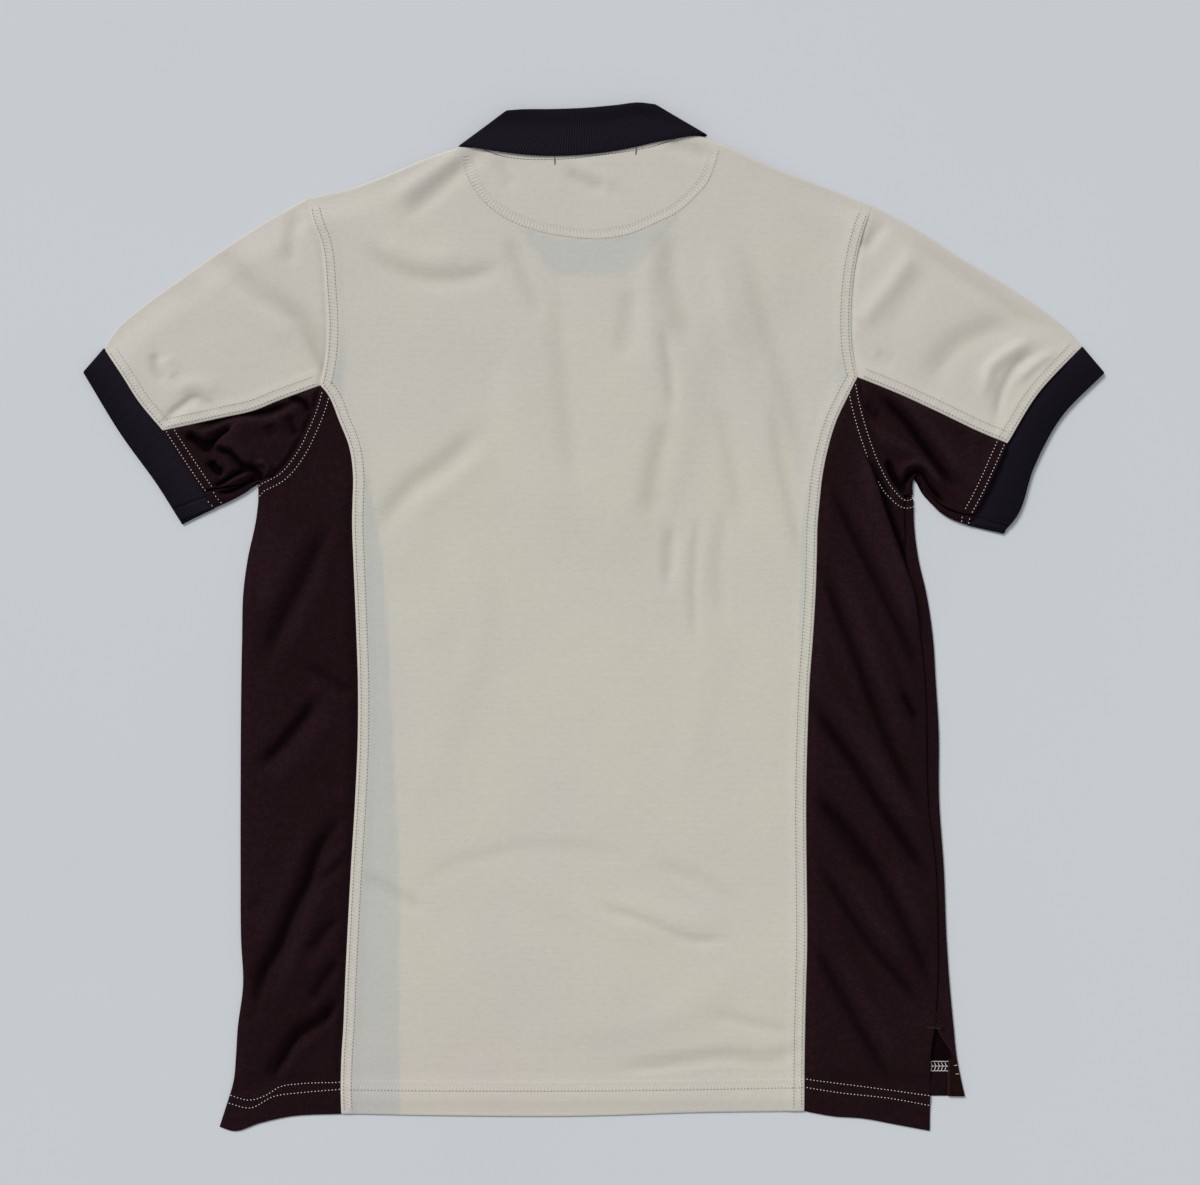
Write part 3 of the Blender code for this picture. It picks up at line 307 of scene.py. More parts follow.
def smooth(at, knots, values):
    # Cubic through the values, with each knot's slope taken from its neighbours
    slopes = np.gradient(values, knots, axis=0)
    index = np.clip(np.searchsorted(knots, at, side="right") - 1, 0, len(knots) - 2)
    span = (knots[index + 1] - knots[index]).reshape((-1,) + (1,) * (values.ndim - 1))
    t = (at - knots[index]).reshape(span.shape) / span
    start = values[index] * (1 + 2 * t) * (1 - t) ** 2 + slopes[index] * span * t * (1 - t) ** 2
    end = values[index + 1] * t * t * (3 - 2 * t) + slopes[index + 1] * span * t * t * (t - 1)
    return start + end


def alongOf(run):
    # Length along the run at each of its points
    return np.concatenate([[0], np.cumsum(np.linalg.norm(np.diff(run, axis=0), axis=1))])


def dense(points, step=1.5):
    # The smooth curve through the points, in short steps
    points = np.array(points, float)
    along = alongOf(points)
    return smooth(np.linspace(0, along[-1], int(along[-1] / step) + 2), along, points)


def bodyLine(rows, column, end=hemLine["front"], step=2.0):
    # The smooth curve through one column of a table of sections, from under the arm down
    order = np.argsort(rows["y"])
    heights = np.linspace(underArm, end, int((underArm - end) / step) + 2)
    across = smooth(heights, rows["y"][order], rows[column][order][:, None])[:, 0]
    return np.column_stack([across, heights])


def joined(*runs):
    # Runs put end to end, each without the point that it shares with the one before
    return np.concatenate([runs[0]] + [run[1:] for run in runs[1:]])


def resample(run, shares):
    # Points of the run at these shares of its length
    along = alongOf(run)
    return np.column_stack([np.interp(shares, along / along[-1], run[:, k]) for k in range(run.shape[1])])


def softStep(value):
    # 3t squared less 2t cubed, with t kept between 0 and 1
    value = np.clip(value, 0, 1)
    return value * value * (3 - 2 * value)


def mix(a, b, share):
    # a where the share is 0 and b where it is 1
    return a + (b - a) * share


def stations(length, cell, fine=None, reach=14.0, ends="both", firstStep=0.0):
    # Shares along a line, in steps that grow from fine at the ends to cell between them
    fine = fine or cell
    s = np.linspace(firstStep, length, 3000)
    gap = {"both": np.minimum(s, length - s), "start": s, "end": length - s}[ends]
    step = mix(fine, cell, softStep(gap / reach))
    count = np.concatenate([[0], np.cumsum(np.diff(s) * 2 / (step[1:] + step[:-1]))])
    at = np.interp(np.linspace(0, count[-1], int(np.ceil(count[-1])) + 1), count, s)
    return (np.concatenate([[0], at]) if firstStep else at) / length


def coons(top, bottom, left, right, u, v):
    # Grid between four edges: both rulings added, less the surface through the four corners
    top, bottom, left, right = resample(top, u), resample(bottom, u), resample(left, v), resample(right, v)
    u, v = u[None, :, None], v[:, None, None]
    across = (1 - u) * left[:, None] + u * right[:, None]
    down = (1 - v) * top[None] + v * bottom[None]
    corners = (1 - v) * ((1 - u) * top[0] + u * top[-1]) + v * ((1 - u) * bottom[0] + u * bottom[-1])
    return across + down - corners


def squareTo(run, inside):
    # Unit vectors square to the run in plan, towards the inside points
    along = np.gradient(run, axis=0)
    normal = np.column_stack([-along[:, 1], along[:, 0]])
    normal /= np.linalg.norm(normal, axis=1, keepdims=True) + 1e-12
    return normal * np.sign(np.sum(normal * (inside - run)))


def offsetRun(run, distance, towards):
    # The run moved sideways, to the side where the given point lies
    return run + distance * squareTo(run, np.array(towards, float)[None])


def nearest(points, run):
    # Signed distance of each point to the run (left of its direction above 0) and the length along to there
    flat = points.reshape(-1, 2)
    start, step = run[:-1], np.diff(run, axis=0)
    lengths = np.linalg.norm(step, axis=1)
    best = np.full(len(flat), np.inf)
    side, where = np.ones(len(flat)), np.zeros(len(flat))
    before = alongOf(run)[:-1]
    for k in range(len(start)):
        offset = flat - start[k]
        share = np.clip(offset @ step[k] / lengths[k] ** 2, 0, 1)
        gap = offset - share[:, None] * step[k]
        distance = np.hypot(gap[:, 0], gap[:, 1])
        closer = distance < best
        best = np.where(closer, distance, best)
        turn = step[k][0] * offset[:, 1] - step[k][1] * offset[:, 0]
        side = np.where(closer, np.where(turn < 0, -1.0, 1.0), side)
        where = np.where(closer, before[k] + share * lengths[k], where)
    shape = points.shape[:-1]
    return (side * best).reshape(shape), where.reshape(shape)


def distanceTo(points, run):
    # Distance of each point to the run, on either side of it
    return np.abs(nearest(points, run)[0])


def oval(points, centre, halfWidth, halfHeight):
    # Distance from the centre, measured so that it is 1 on the oval
    offset = points - np.array(centre)
    return np.hypot(offset[..., 0] / halfWidth, offset[..., 1] / halfHeight)


def latticeNoise(points, size, seed):
    # Smooth random heights between -1 and 1 on a square lattice of this size
    values = np.random.default_rng(seed).uniform(-1, 1, (64, 64))
    place = points / size + 31.5
    cell = np.floor(place).astype(int)
    t = softStep(place - cell)
    i, j = cell[..., 0] % 64, cell[..., 1] % 64
    low = mix(values[i, j], values[(i + 1) % 64, j], t[..., 0])
    high = mix(values[i, (j + 1) % 64], values[(i + 1) % 64, (j + 1) % 64], t[..., 0])
    return mix(low, high, t[..., 1])


def creaseHeight(points, names):
    # Sum of bells across each crease line, with its own width on each side, fading at both ends
    flat = points.reshape(-1, 2)
    total = np.zeros(len(flat))
    for name in names:
        for line, height, leftWidth, rightWidth in creases[name]:
            run = dense(line, 5.0)
            reach = 3 * max(leftWidth, rightWidth)
            near = np.all((flat > run.min(0) - reach) & (flat < run.max(0) + reach), axis=1)
            if not near.any():
                continue
            side, where = nearest(flat[near], run)
            share = where / alongOf(run)[-1]
            ends = softStep((share + 0.08) / 0.3) * softStep((1.08 - share) / 0.3)
            width = np.where(side > 0, leftWidth, rightWidth)
            total[near] += height * ends * np.exp(-((side / width) ** 2))
    return total.reshape(points.shape[:-1])


def frontHeight(points):
    # Middle of the front layer: its level on the floor, raised over what lies below it, and its creases
    inside = np.min([oval(points, *place) for place in raisedPlaces], axis=0)
    raised = softStep((1.55 - inside) / 0.5)
    level = mix(layers["front"], layers["raisedFront"], raised)
    return level + creaseHeight(points, ["front"])


# Lines of each side; the back's seam runs on to the corner of its hem
sides = {}
seamEnd = -392
for side, corner in (("left", hems["left"][-1]), ("right", hems["right"][0])):
    sides[side] = {
        "armhole": dense(armholes[side]),
        "low": dense(lowArmholes[side]),
        "seam": joined(dense(backSeams[side]), bodyLine(bodyLines, side + "Seam", seamEnd),
                       np.array([corner, corner])),
        "edge": bodyLine(bodyLines, side + "Edge"),
        "sideSeam": bodyLine(bodyLines, "sideSeam"),
        "hem": dense(hems[side]),
    }
    sides[side]["back"] = joined(sides[side]["armhole"], sides[side]["seam"])
sleeveLines = ("top", "seam", "under", "cuff", "cuffLow", "band")
sleeveRuns = {side: {name: dense(sleeves[side][name]) for name in sleeveLines} for side in sleeves}
foldedEdges = []
for side in sides:
    foldedEdges += [dense(shoulders[side], 6), dense(sleeves[side]["top"], 6), dense(sleeves[side]["under"], 4)]
    foldedEdges.append(bodyLine(bodyLines, side + "Edge", step=12))


def edgeDistance(points):
    # Distance of each point to the nearest folded edge
    return np.min([distanceTo(points, run) for run in foldedEdges], axis=0)


def backHeight(points, names=(), lift=0.0):
    # Middle of the back layer: over the front with air, creases and soft unevenness, down at the hem
    edge = edgeDistance(points)
    front = frontHeight(points)
    air = softStep(edge / layers["airReach"]) * softStep((points[..., 1] - hemLine["front"]) / 120)
    level = front + layers["over"] + air * layers["air"]
    neck = softStep((2.2 - oval(points, moon["centre"], moon["halfWidth"], moon["depth"])) / 0.95)
    level = mix(level, layers["neck"] + 0.4 * (front - layers["raisedFront"]), neck)
    down = softStep((hemLine["backLeaves"] - points[..., 1]) / (hemLine["backLeaves"] - hemLine["touches"]))
    level = mix(level, layers["front"], down)
    uneven = 0.45 * latticeNoise(points, 90, 3) + 0.3 * latticeNoise(points, 42, 5)
    uneven = uneven + 0.1 * latticeNoise(points, 17, 7)
    free = (0.2 + 0.8 * softStep(edge / layers["edgeFold"])) * (1 - 0.85 * down)
    height = level + free * (creaseHeight(points, names) + uneven + lift)
    floor = mix(front + layers["clear"], layers["front"], down)
    return floor + 0.3 * np.log1p(np.exp(np.clip((height - floor) / 0.3, -30, 30)))


# What a panel does beside its own seams
seamShape = {"rows": (2.0, 8.2), "bandEnd": 8.6, "slope": 6.0, "dimple": 0.05, "pucker": 0.16}


def puckers(where, gap, seed):
    # Small swells along a sewn seam, 7 to 12 mm apart, which die away from it
    swell = latticeNoise(np.stack([where, 0 * where], -1), 4.6, seed)
    return seamShape["pucker"] * swell * np.exp(-((gap - 5) / 5) ** 2)


def raisedSeam(points, run, seed, reach=1.0):
    # The sewn allowance under the panel: raised as far as the second row, with both rows pulled in
    gap, where = nearest(points, run)
    gap = np.abs(gap)
    band = layers["step"] * (1 - softStep((gap - seamShape["bandEnd"]) / seamShape["slope"]))
    rows = sum(np.exp(-(((gap - row) / 0.85) ** 2)) for row in seamShape["rows"])
    edge = 0.28 * np.exp(-((gap / 0.9) ** 2))
    return reach * (band - seamShape["dimple"] * rows - edge + puckers(where, gap, seed))


def loweredSeam(points, run, seed, reach=1.0):
    # The other panel at that seam, down by the same step beside it
    gap, where = nearest(points, run)
    gap = np.abs(gap)
    return reach * (puckers(where, gap, seed) - layers["step"] * (1 - softStep((gap - 1.2) / 3.4)))


def groove(points, run, depth=0.45, width=1.6):
    # A trough along the run with the section of a bell
    return -depth * np.exp(-((distanceTo(points, run) / width) ** 2))


def threadTrough(points, run, depth=0.14):
    # The narrow trough that a row of stitches pulls into the cloth
    return groove(points, run, depth, 0.85)


hemRows = {
    "back": ([(-199, -371.4), (-100, -372.2), (0, -372), (169, -369.4)],
             [(-199, -378.2), (-100, -379), (0, -378.8), (169, -376.2)]),
    "left": ([(-292, -382), (-275, -386.4), (-263, -382.8), (-251, -375.6), (-235, -373.2), (-202, -372)],
             [(-293.4, -388.4), (-275, -392.8), (-257, -383.6), (-235, -380.4), (-202, -377.6)]),
    "right": ([(169, -369.2), (189, -372), (229, -377.2), (249, -380), (269.6, -382.8)],
              [(169, -376), (197, -380.4), (237, -384.8), (269.6, -390.8)]),
}


def moonArc():
    # The lower half of an oval whose sine and cosine are raised to two over its power
    angle = np.linspace(np.pi * 0.985, np.pi * 2.015, 120)
    turn = np.column_stack([np.cos(angle), np.sin(angle)])
    reach = (moon["halfWidth"], moon["depth"])
    return moon["centre"] + reach * np.sign(turn) * np.abs(turn) ** (2 / moon["power"])


moonRows = [dense(moonSeam, 3.0)]
moonRows.append(offsetRun(moonRows[0], 7.6, (0, 420)))


def hemRelief(points, name):
    # The hem is turned up inside: a little thicker as far as its rows, with a soft trough above them
    upper, lower = (dense(run, 4.0) for run in hemRows[name])
    above, _ = nearest(points, upper)
    band = 0.28 * softStep((1.2 - above) / 2.4)
    trough = -0.2 * np.exp(-(((above - 7) / 6) ** 2))
    return band + trough + threadTrough(points, upper, 0.05) + threadTrough(points, lower)


def lapReach(points):
    # From 0 at a folded edge to 1 well inside it
    return softStep(edgeDistance(points) / layers["lapReach"])


sleeveSeam = {side: sleeveRuns[side]["seam"] for side in sleeves}
wholeCuff = {side: joined(sleeveRuns[side]["cuff"], sleeveRuns[side]["cuffLow"]) for side in sleeves}


def sleeveUnder(side):
    # The seam on the back of the sleeve, a little above its lower edge
    under = resample(sleeveRuns[side]["under"], np.linspace(0, 1, 40))
    share = np.linspace(0, 1, 40)[:, None]
    rise = (1 - share) * sleeves[side]["rise"][0] + share * sleeves[side]["rise"][1]
    seam = under + rise * squareTo(under, sleeveSeam[side].mean(0)[None])
    start = resample(sides[side]["low"], np.array([sleeves[side]["meets"][0]]))[0]
    end = resample(sleeveRuns[side]["cuffLow"], np.array([sleeves[side]["meets"][1]]))[0]
    return seam + (1 - share) ** 4 * (start - seam[0]) + share**4 * (end - seam[-1])


underarms = {side: sleeveUnder(side) for side in sleeves}


def bodyTop(points):
    # Middle of the pale back: its seams raised, the facing's edge and rows, the row at the neck, and the hem
    z = backHeight(points, ["pale"])
    reach = lapReach(points)
    for n, side in enumerate(sides):
        z = z + raisedSeam(points, sides[side]["back"][::3], 11 + n, reach)
    outer, inner = moonRows
    inside, _ = nearest(points, outer)
    z = z + 0.25 * softStep((np.where(points[..., 1] < 380, inside, 0) + 1.5) / 2.5) - 0.125
    z = z + threadTrough(points, outer, 0.08) + threadTrough(points, inner, 0.05)
    z = z + groove(points, dense(neckLine, 4.0), 0.35, 1.2)
    return z + hemRelief(points, "back")


def sideTop(points, side):
    # Middle of a side panel: puffed up between its seams, below the back's seam and above the sleeve's
    reach, y = lapReach(points), points[..., 1]
    seam = sides[side]["seam"][::3]
    gap = distanceTo(points, seam)
    puff = layers["puff"] * softStep(gap / 9) * softStep((120 - y) / 30) * softStep((y + 376) / 16)
    z = backHeight(points, lift=puff + softStep(gap / 5) * creaseHeight(points, [side + "Side"]))
    z = z + loweredSeam(points, seam, 21, reach)
    z = z + raisedSeam(points, sides[side]["low"][::3], 23, reach)
    if side == "right":
        z = z + groove(points, sides[side]["sideSeam"][::4])
    return z + hemRelief(points, side)


def sleeveTop(points, side):
    # Middle of the pale sleeve: below its seam to the back, above those to the under sleeve and cuff
    z = backHeight(points, ["sleeves"])
    reach = lapReach(points)
    z = z + loweredSeam(points, sides[side]["armhole"][::3], 31, reach)
    z = z + raisedSeam(points, sleeveSeam[side][::3], 33, reach)
    return z + raisedSeam(points, sleeveRuns[side]["cuff"][::3], 35, reach)


def underTop(points, side):
    # Middle of the under sleeve: lifted between its seams by its creases, with the seam near its lower edge
    away = np.minimum(distanceTo(points, sleeveSeam[side][::3]), distanceTo(points, sides[side]["low"][::3]))
    z = backHeight(points, lift=softStep(away / 4.5) * (creaseHeight(points, [side + "Under"]) + 2.6))
    reach = lapReach(points)
    z = z + loweredSeam(points, sleeveSeam[side][::3], 41, reach)
    z = z + loweredSeam(points, sides[side]["low"][::3], 43, reach)
    z = z + raisedSeam(points, sleeveRuns[side]["cuffLow"][::3], 45, reach)
    return z + groove(points, underarms[side][::2], 0.4)


def gridNormals(grid, closed):
    # Unit normals: the cross product of the steps along the two ways of the grid
    if closed:
        across = np.roll(grid, -1, axis=1) - np.roll(grid, 1, axis=1)
    else:
        across = np.gradient(grid, axis=1)
    normal = np.cross(across, np.gradient(grid, axis=0))
    return normal / (np.linalg.norm(normal, axis=2, keepdims=True) + 1e-12)


def clothWall(name, grid, thickness, material, keep=None, closed=False, uv=None, masks=None):
    # Closed wall of cloth: the grid moved half its thickness each way, with a rounded rim at its open edges
    rows, columns = grid.shape[:2]
    normal = gridNormals(grid, closed).reshape(-1, 3)
    middle = grid.reshape(-1, 3)
    index = np.arange(rows * columns).reshape(rows, columns)
    if closed:
        index = np.column_stack([index, index[:, :1]])
    cells = np.stack([index[:-1, :-1], index[:-1, 1:], index[1:, 1:], index[1:, :-1]], -1)
    cells = cells[keep] if keep is not None else cells.reshape(-1, 4)
    used, flat = np.unique(cells, return_inverse=True)
    cells = flat.reshape(-1, 4)
    middle, normal = middle[used], normal[used]
    count = len(middle)
    half = normal * thickness / 2
    edges = np.stack([cells, np.roll(cells, -1, axis=1)], -1).reshape(-1, 2)
    key, reverse = edges[:, 0] * count + edges[:, 1], edges[:, 1] * count + edges[:, 0]
    rim = edges[~np.isin(key, reverse)]
    along = middle[rim[:, 1]] - middle[rim[:, 0]]
    along /= np.linalg.norm(along, axis=1, keepdims=True) + 1e-12
    outward = np.zeros_like(middle)
    push = np.cross(along, normal[rim[:, 0]])
    np.add.at(outward, rim[:, 0], push)
    np.add.at(outward, rim[:, 1], push)
    border = np.unique(rim)
    place = np.zeros(count, int)
    place[border] = np.arange(len(border))
    out = outward[border] / (np.linalg.norm(outward[border], axis=1, keepdims=True) + 1e-12)
    rings = [middle[border] + half[border] * np.cos(a) + out * thickness / 2 * np.sin(a) for a in (1.05, 2.09)]
    points = np.concatenate([middle + half, middle - half] + rings)
    a, b = rim[:, 0], rim[:, 1]
    first, second = 2 * count, 2 * count + len(border)
    bands = [
        np.column_stack([b, a, first + place[a], first + place[b]]),
        np.column_stack([first + place[b], first + place[a], second + place[a], second + place[b]]),
        np.column_stack([second + place[b], second + place[a], a + count, b + count]),
    ]
    faces = np.concatenate([cells, cells[:, ::-1] + count] + bands)
    uv = (grid[..., :2] if uv is None else uv).reshape(-1, 2)[used]
    values = {key: mask.reshape(-1)[used] for key, mask in (masks or {}).items()}
    spread = lambda data: np.concatenate([data, data, data[border], data[border]])
    return addMesh(name, points, faces, material, spread(uv), {k: spread(v) for k, v in values.items()})


def addMesh(name, points, faces, material, uv=None, masks=None):
    # A smooth mesh from arrays in millimetres, with cloth places as its UV map and masks as attributes
    mesh = bpy.data.meshes.new(name)
    mesh.from_pydata((points / 1000).tolist(), [], faces.tolist())
    if uv is not None:
        corners = np.zeros(len(mesh.loops), np.int32)
        mesh.loops.foreach_get("vertex_index", corners)
        layer = mesh.uv_layers.new(name="cloth")
        layer.data.foreach_set("uv", (uv[corners] / 1000).astype(np.float32).ravel())
    for key, values in (masks or {}).items():
        attribute = mesh.attributes.new(key, "FLOAT", "POINT")
        attribute.data.foreach_set("value", values.astype(np.float32))
    mesh.materials.append(material)
    mesh.shade_smooth()
    made = bpy.data.objects.new(name, mesh)
    bpy.context.scene.collection.objects.link(made)
    return made


def raiseTo(plan, height):
    # Plan points with their height as the third value
    return np.concatenate([plan, height(plan)[..., None]], axis=-1)


def turnedRows(edge, inside, angles, top, low, thickness=None):
    # Rows round a folded edge: part of a circle from the back layer, at 0, to the front one, at 180
    thickness = thickness or cloth["thickness"]
    radius = np.maximum((top - low) / 2, 0.05)
    heading = squareTo(edge, inside)
    centre = edge + heading * (radius + thickness / 2)[:, None]
    rows = []
    for angle in np.radians(angles):
        plan = centre - heading * (radius * np.sin(angle))[:, None]
        rows.append(np.column_stack([plan, (top + low) / 2 + radius * np.cos(angle)]))
    return np.array(rows)


def plainRows(edge, inside, count, height):
    # Rows just inside an edge that is sewn, as many as a fold has
    heading = squareTo(edge, inside)
    steps = [edge + heading * (0.5 + 1.6 * step / (count - 1)) for step in range(count)]
    return np.array([np.column_stack([plan, height(plan)]) for plan in steps])


def lapped(row, inside, amount=None):
    # An edge of a plan grid moved out: under its neighbour, or by this amount where it isn't sewn to one
    amount = lapAmount(row)[:, None] if amount is None else amount
    return row - squareTo(row, inside) * amount


def lapAmount(points):
    # How far an edge reaches under its neighbour, and near a fold how far it is drawn in
    return mix(drawnIn, layers["lap"], lapReach(points))


def grained(plan, degrees):
    # Plan places turned by an angle, so that the knit runs along the sleeve
    turn = np.radians(degrees)
    x, y = plan[..., 0], plan[..., 1]
    return np.stack([x * np.cos(turn) - y * np.sin(turn), x * np.sin(turn) + y * np.cos(turn)], -1)


def newMaterial(name):
    # A new material, its node tree and its shader
    material = bpy.data.materials.new(name)
    material.use_nodes = True
    tree = material.node_tree
    return material, tree, tree.nodes["Principled BSDF"]


def nodeMaker(tree):
    # Short ways of adding nodes to one tree
    def node(kind, settings=None, **inputs):
        made = tree.nodes.new(kind)
        for key, value in (settings or {}).items():
            setattr(made, key, value)
        for key, value in inputs.items():
            socket = made.inputs[int(key[1:])] if key[0] == "_" else made.inputs[key.replace("_", " ")]
            if hasattr(value, "is_output"):
                tree.links.new(value, socket)
            else:
                socket.default_value = value
        return made

    def maths(operation, a, b=0.0, c=0.0):
        return node("ShaderNodeMath", {"operation": operation}, _0=a, _1=b, _2=c).outputs[0]

    return node, maths


def group(name, inputs, outputs):
    # An empty shader group with these sockets
    tree = bpy.data.node_groups.new(name, "ShaderNodeTree")
    for label, kind, value in inputs:
        socket = tree.interface.new_socket(label, in_out="INPUT", socket_type=kind)
        if value is not None:
            socket.default_value = value
    for label, kind in outputs:
        tree.interface.new_socket(label, in_out="OUTPUT", socket_type=kind)
    start = tree.nodes.new("NodeGroupInput")
    end = tree.nodes.new("NodeGroupOutput")
    return tree, start, end


def makeKnitGroup():
    # Rows of V-shaped stitches: a cosine along each wale, bent by the distance from the wale's middle
    tree, start, end = group("knitStitches", [
        ("Vector", "NodeSocketVector", None), ("Wale", "NodeSocketFloat", 1.1),
        ("Course", "NodeSocketFloat", 0.9), ("Slant", "NodeSocketFloat", 0.55),
    ], [("Height", "NodeSocketFloat")])
    node, maths = nodeMaker(tree)
    split = node("ShaderNodeSeparateXYZ", _0=start.outputs["Vector"])
    x = maths("MULTIPLY", split.outputs["X"], 1000.0)
    y = maths("MULTIPLY", split.outputs["Y"], 1000.0)
    wale = maths("DIVIDE", x, start.outputs["Wale"])
    side = maths("FRACT", wale)
    fromMiddle = maths("ABSOLUTE", maths("SUBTRACT", maths("MULTIPLY", side, 2.0), 1.0))
    course = maths("DIVIDE", y, start.outputs["Course"])
    bent = maths("MULTIPLY_ADD", fromMiddle, start.outputs["Slant"], course)
    wave = maths("MULTIPLY_ADD", maths("COSINE", maths("MULTIPLY", bent, 6.2832)), 0.5, 0.5)
    legs = maths("ABSOLUTE", maths("SINE", maths("MULTIPLY", side, 6.2832)))
    tree.links.new(maths("MULTIPLY", wave, legs), end.inputs["Height"])
    return tree


def makeMottleGroup():
    # Noises of different size, each stretched to run from 0 to 1: fibre with yarn, and large soft patches
    tree, start, end = group("yarnMottle", [
        ("Vector", "NodeSocketVector", None), ("Fibre", "NodeSocketFloat", 650.0),
        ("Yarn", "NodeSocketFloat", 190.0), ("Patch", "NodeSocketFloat", 8.0),
    ], [("Fine", "NodeSocketFloat"), ("Soft", "NodeSocketFloat")])
    node, maths = nodeMaker(tree)
    noises = []
    for label, detail in (("Fibre", 1.0), ("Yarn", 2.0), ("Patch", 2.0)):
        noise = node("ShaderNodeTexNoise", Vector=start.outputs["Vector"], Scale=start.outputs[label],
                     Detail=detail)
        noises.append(node("ShaderNodeMapRange", _0=noise.outputs[0], _1=0.3, _2=0.7).outputs[0])
    fine = maths("MULTIPLY_ADD", noises[1], 0.4, maths("MULTIPLY", noises[0], 0.6))
    tree.links.new(fine, end.inputs["Fine"])
    tree.links.new(noises[2], end.inputs["Soft"])
    return tree


knitStitches = makeKnitGroup()
yarnMottle = makeMottleGroup()


def knitMaterial(name, look):
    # Two tones mixed by large soft patches, tinted by the masks (some of them painted shade, painted highlight
    # and painted show-through), with painted shade and light from the stitches' height, and a fibre grain
    material, tree, shader = newMaterial(name)
    node, maths = nodeMaker(tree)
    place = node("ShaderNodeUVMap", {"uv_map": "cloth"}).outputs[0]
    knit = node("ShaderNodeGroup", {"node_tree": knitStitches}, Vector=place, Wale=look["wale"],
                Course=look["course"], Slant=look["slant"])
    mottle = node("ShaderNodeGroup", {"node_tree": yarnMottle}, Vector=place)
    weave = knit.outputs["Height"]
    low, high = look["colour"], look["light"]
    share = mottle.outputs["Soft"]
    if "blush" in look:
        split = node("ShaderNodeSeparateXYZ", _0=node("ShaderNodeTexCoord").outputs["Object"])
        outer = node("ShaderNodeMapRange", _0=maths("ABSOLUTE", split.outputs["X"]), _1=0.13, _2=0.26).outputs[0]
        upper = node("ShaderNodeMapRange", _0=split.outputs["Y"], _1=0.12, _2=0.36).outputs[0]
        share = maths("SUBTRACT", share, maths("MULTIPLY", maths("MAXIMUM", outer, upper), look["blush"]))
        share = node("ShaderNodeClamp", _0=share).outputs[0]
    base = node("ShaderNodeMix", {"data_type": "RGBA"}, Factor=share, A=(*low, 1), B=(*high, 1)).outputs[2]
    grain = maths("MULTIPLY_ADD", mottle.outputs["Fine"], 2 * look["grain"], 1 - look["grain"])
    # Painted shade and light: the knit's low places darker and its high places lighter
    shade = maths("MULTIPLY", grain, maths("MULTIPLY_ADD", weave, look["contrast"], 1 - look["contrast"] / 2.6))
    for mask, tint in look["masks"].items():
        amount = node("ShaderNodeAttribute", {"attribute_name": mask}).outputs["Fac"]
        tinted = node("ShaderNodeVectorMath", {"operation": "MULTIPLY"}, _0=base, _1=tint).outputs[0]
        base = node("ShaderNodeMix", {"data_type": "VECTOR"}, Factor=amount, A=base, B=tinted).outputs[1]
    colour = node("ShaderNodeVectorMath", {"operation": "SCALE"}, _0=base, Scale=shade).outputs[0]
    tree.links.new(colour, shader.inputs["Base Color"])
    bump = node("ShaderNodeBump", Strength=look["bump"], Distance=0.0004, Height=weave)
    fuzz = node("ShaderNodeBump", Strength=look["fuzz"], Distance=0.0003, Height=mottle.outputs["Fine"],
                Normal=bump.outputs[0])
    tree.links.new(fuzz.outputs[0], shader.inputs["Normal"])
    shader.inputs["Roughness"].default_value = look["roughness"]
    shader.inputs["Specular IOR Level"].default_value = look["specular"]
    shader.inputs["Specular Tint"].default_value = (*look["gloss"], 1)
    return material


looks = {
    "pale": {
        "colour": (0.518, 0.488, 0.440), "light": (0.530, 0.512, 0.428), "wale": 1.15, "course": 0.95,
        "slant": 0.55, "grain": 0.045, "contrast": 0.10, "bump": 0.35, "fuzz": 0.25, "roughness": 0.9,
        "specular": 0.15, "gloss": (1, 1, 1), "blush": 0.75,
        # Masks: painted show-through of the dark cloth below, painted shade in the troughs, and a warmer tone low
        # at the left
        "masks": {
            "showThrough": (0.882, 0.928, 0.972), "hollow": (0.90, 0.885, 0.86), "warm": (1.02, 0.984, 0.998),
        },
    },
    "brown": {
        "colour": (0.0120, 0.0047, 0.0062), "light": (0.0144, 0.0060, 0.0078), "wale": 1.5, "course": 1.3,
        "slant": 1.0, "grain": 0.38, "contrast": 0.55, "bump": 0.5, "fuzz": 0.5, "roughness": 0.8,
        "specular": 0.03, "gloss": (1.0, 0.72, 0.78),
        # Masks: painted highlight along the ridges, painted shade in the troughs, and the rust tone of the vent's
        # facing
        "masks": {"crest": (1.32, 1.46, 1.46), "hollow": (0.05, 0.03, 0.03), "wrongSide": (0.88, 0.85, 0.42)},
    },
    "rib": {
        "colour": (0.0054, 0.0040, 0.0076), "light": (0.0070, 0.0054, 0.0094), "wale": 3.6, "course": 60.0,
        "slant": 0.0, "grain": 0.15, "contrast": 0.8, "bump": 0.4, "fuzz": 0.5, "roughness": 0.7,
        "specular": 0.06, "gloss": (0.9, 0.85, 1.0), "masks": {},
    },
}
paleKnit = knitMaterial("paleKnit", looks["pale"])
brownKnit = knitMaterial("brownKnit", looks["brown"])
blackRib = knitMaterial("blackRib", looks["rib"])


def threadMaterial(name, colour, gloss=0.3):
    # One colour, made lighter and darker by the twist, a fine noise
    material, tree, shader = newMaterial(name)
    node, maths = nodeMaker(tree)
    place = node("ShaderNodeTexCoord").outputs["Object"]
    twist = node("ShaderNodeTexNoise", Vector=place, Scale=2500.0, Detail=1.0)
    shade = maths("MULTIPLY_ADD", twist.outputs[0], 0.3, 0.85)
    tint = node("ShaderNodeVectorMath", {"operation": "SCALE"}, _0=colour, Scale=shade)
    tree.links.new(tint.outputs[0], shader.inputs["Base Color"])
    tree.links.new(node("ShaderNodeBump", Strength=0.4, Distance=0.0002, Height=twist.outputs[0]).outputs[0],
                   shader.inputs["Normal"])
    shader.inputs["Roughness"].default_value = 0.55
    shader.inputs["Specular IOR Level"].default_value = gloss
    return material


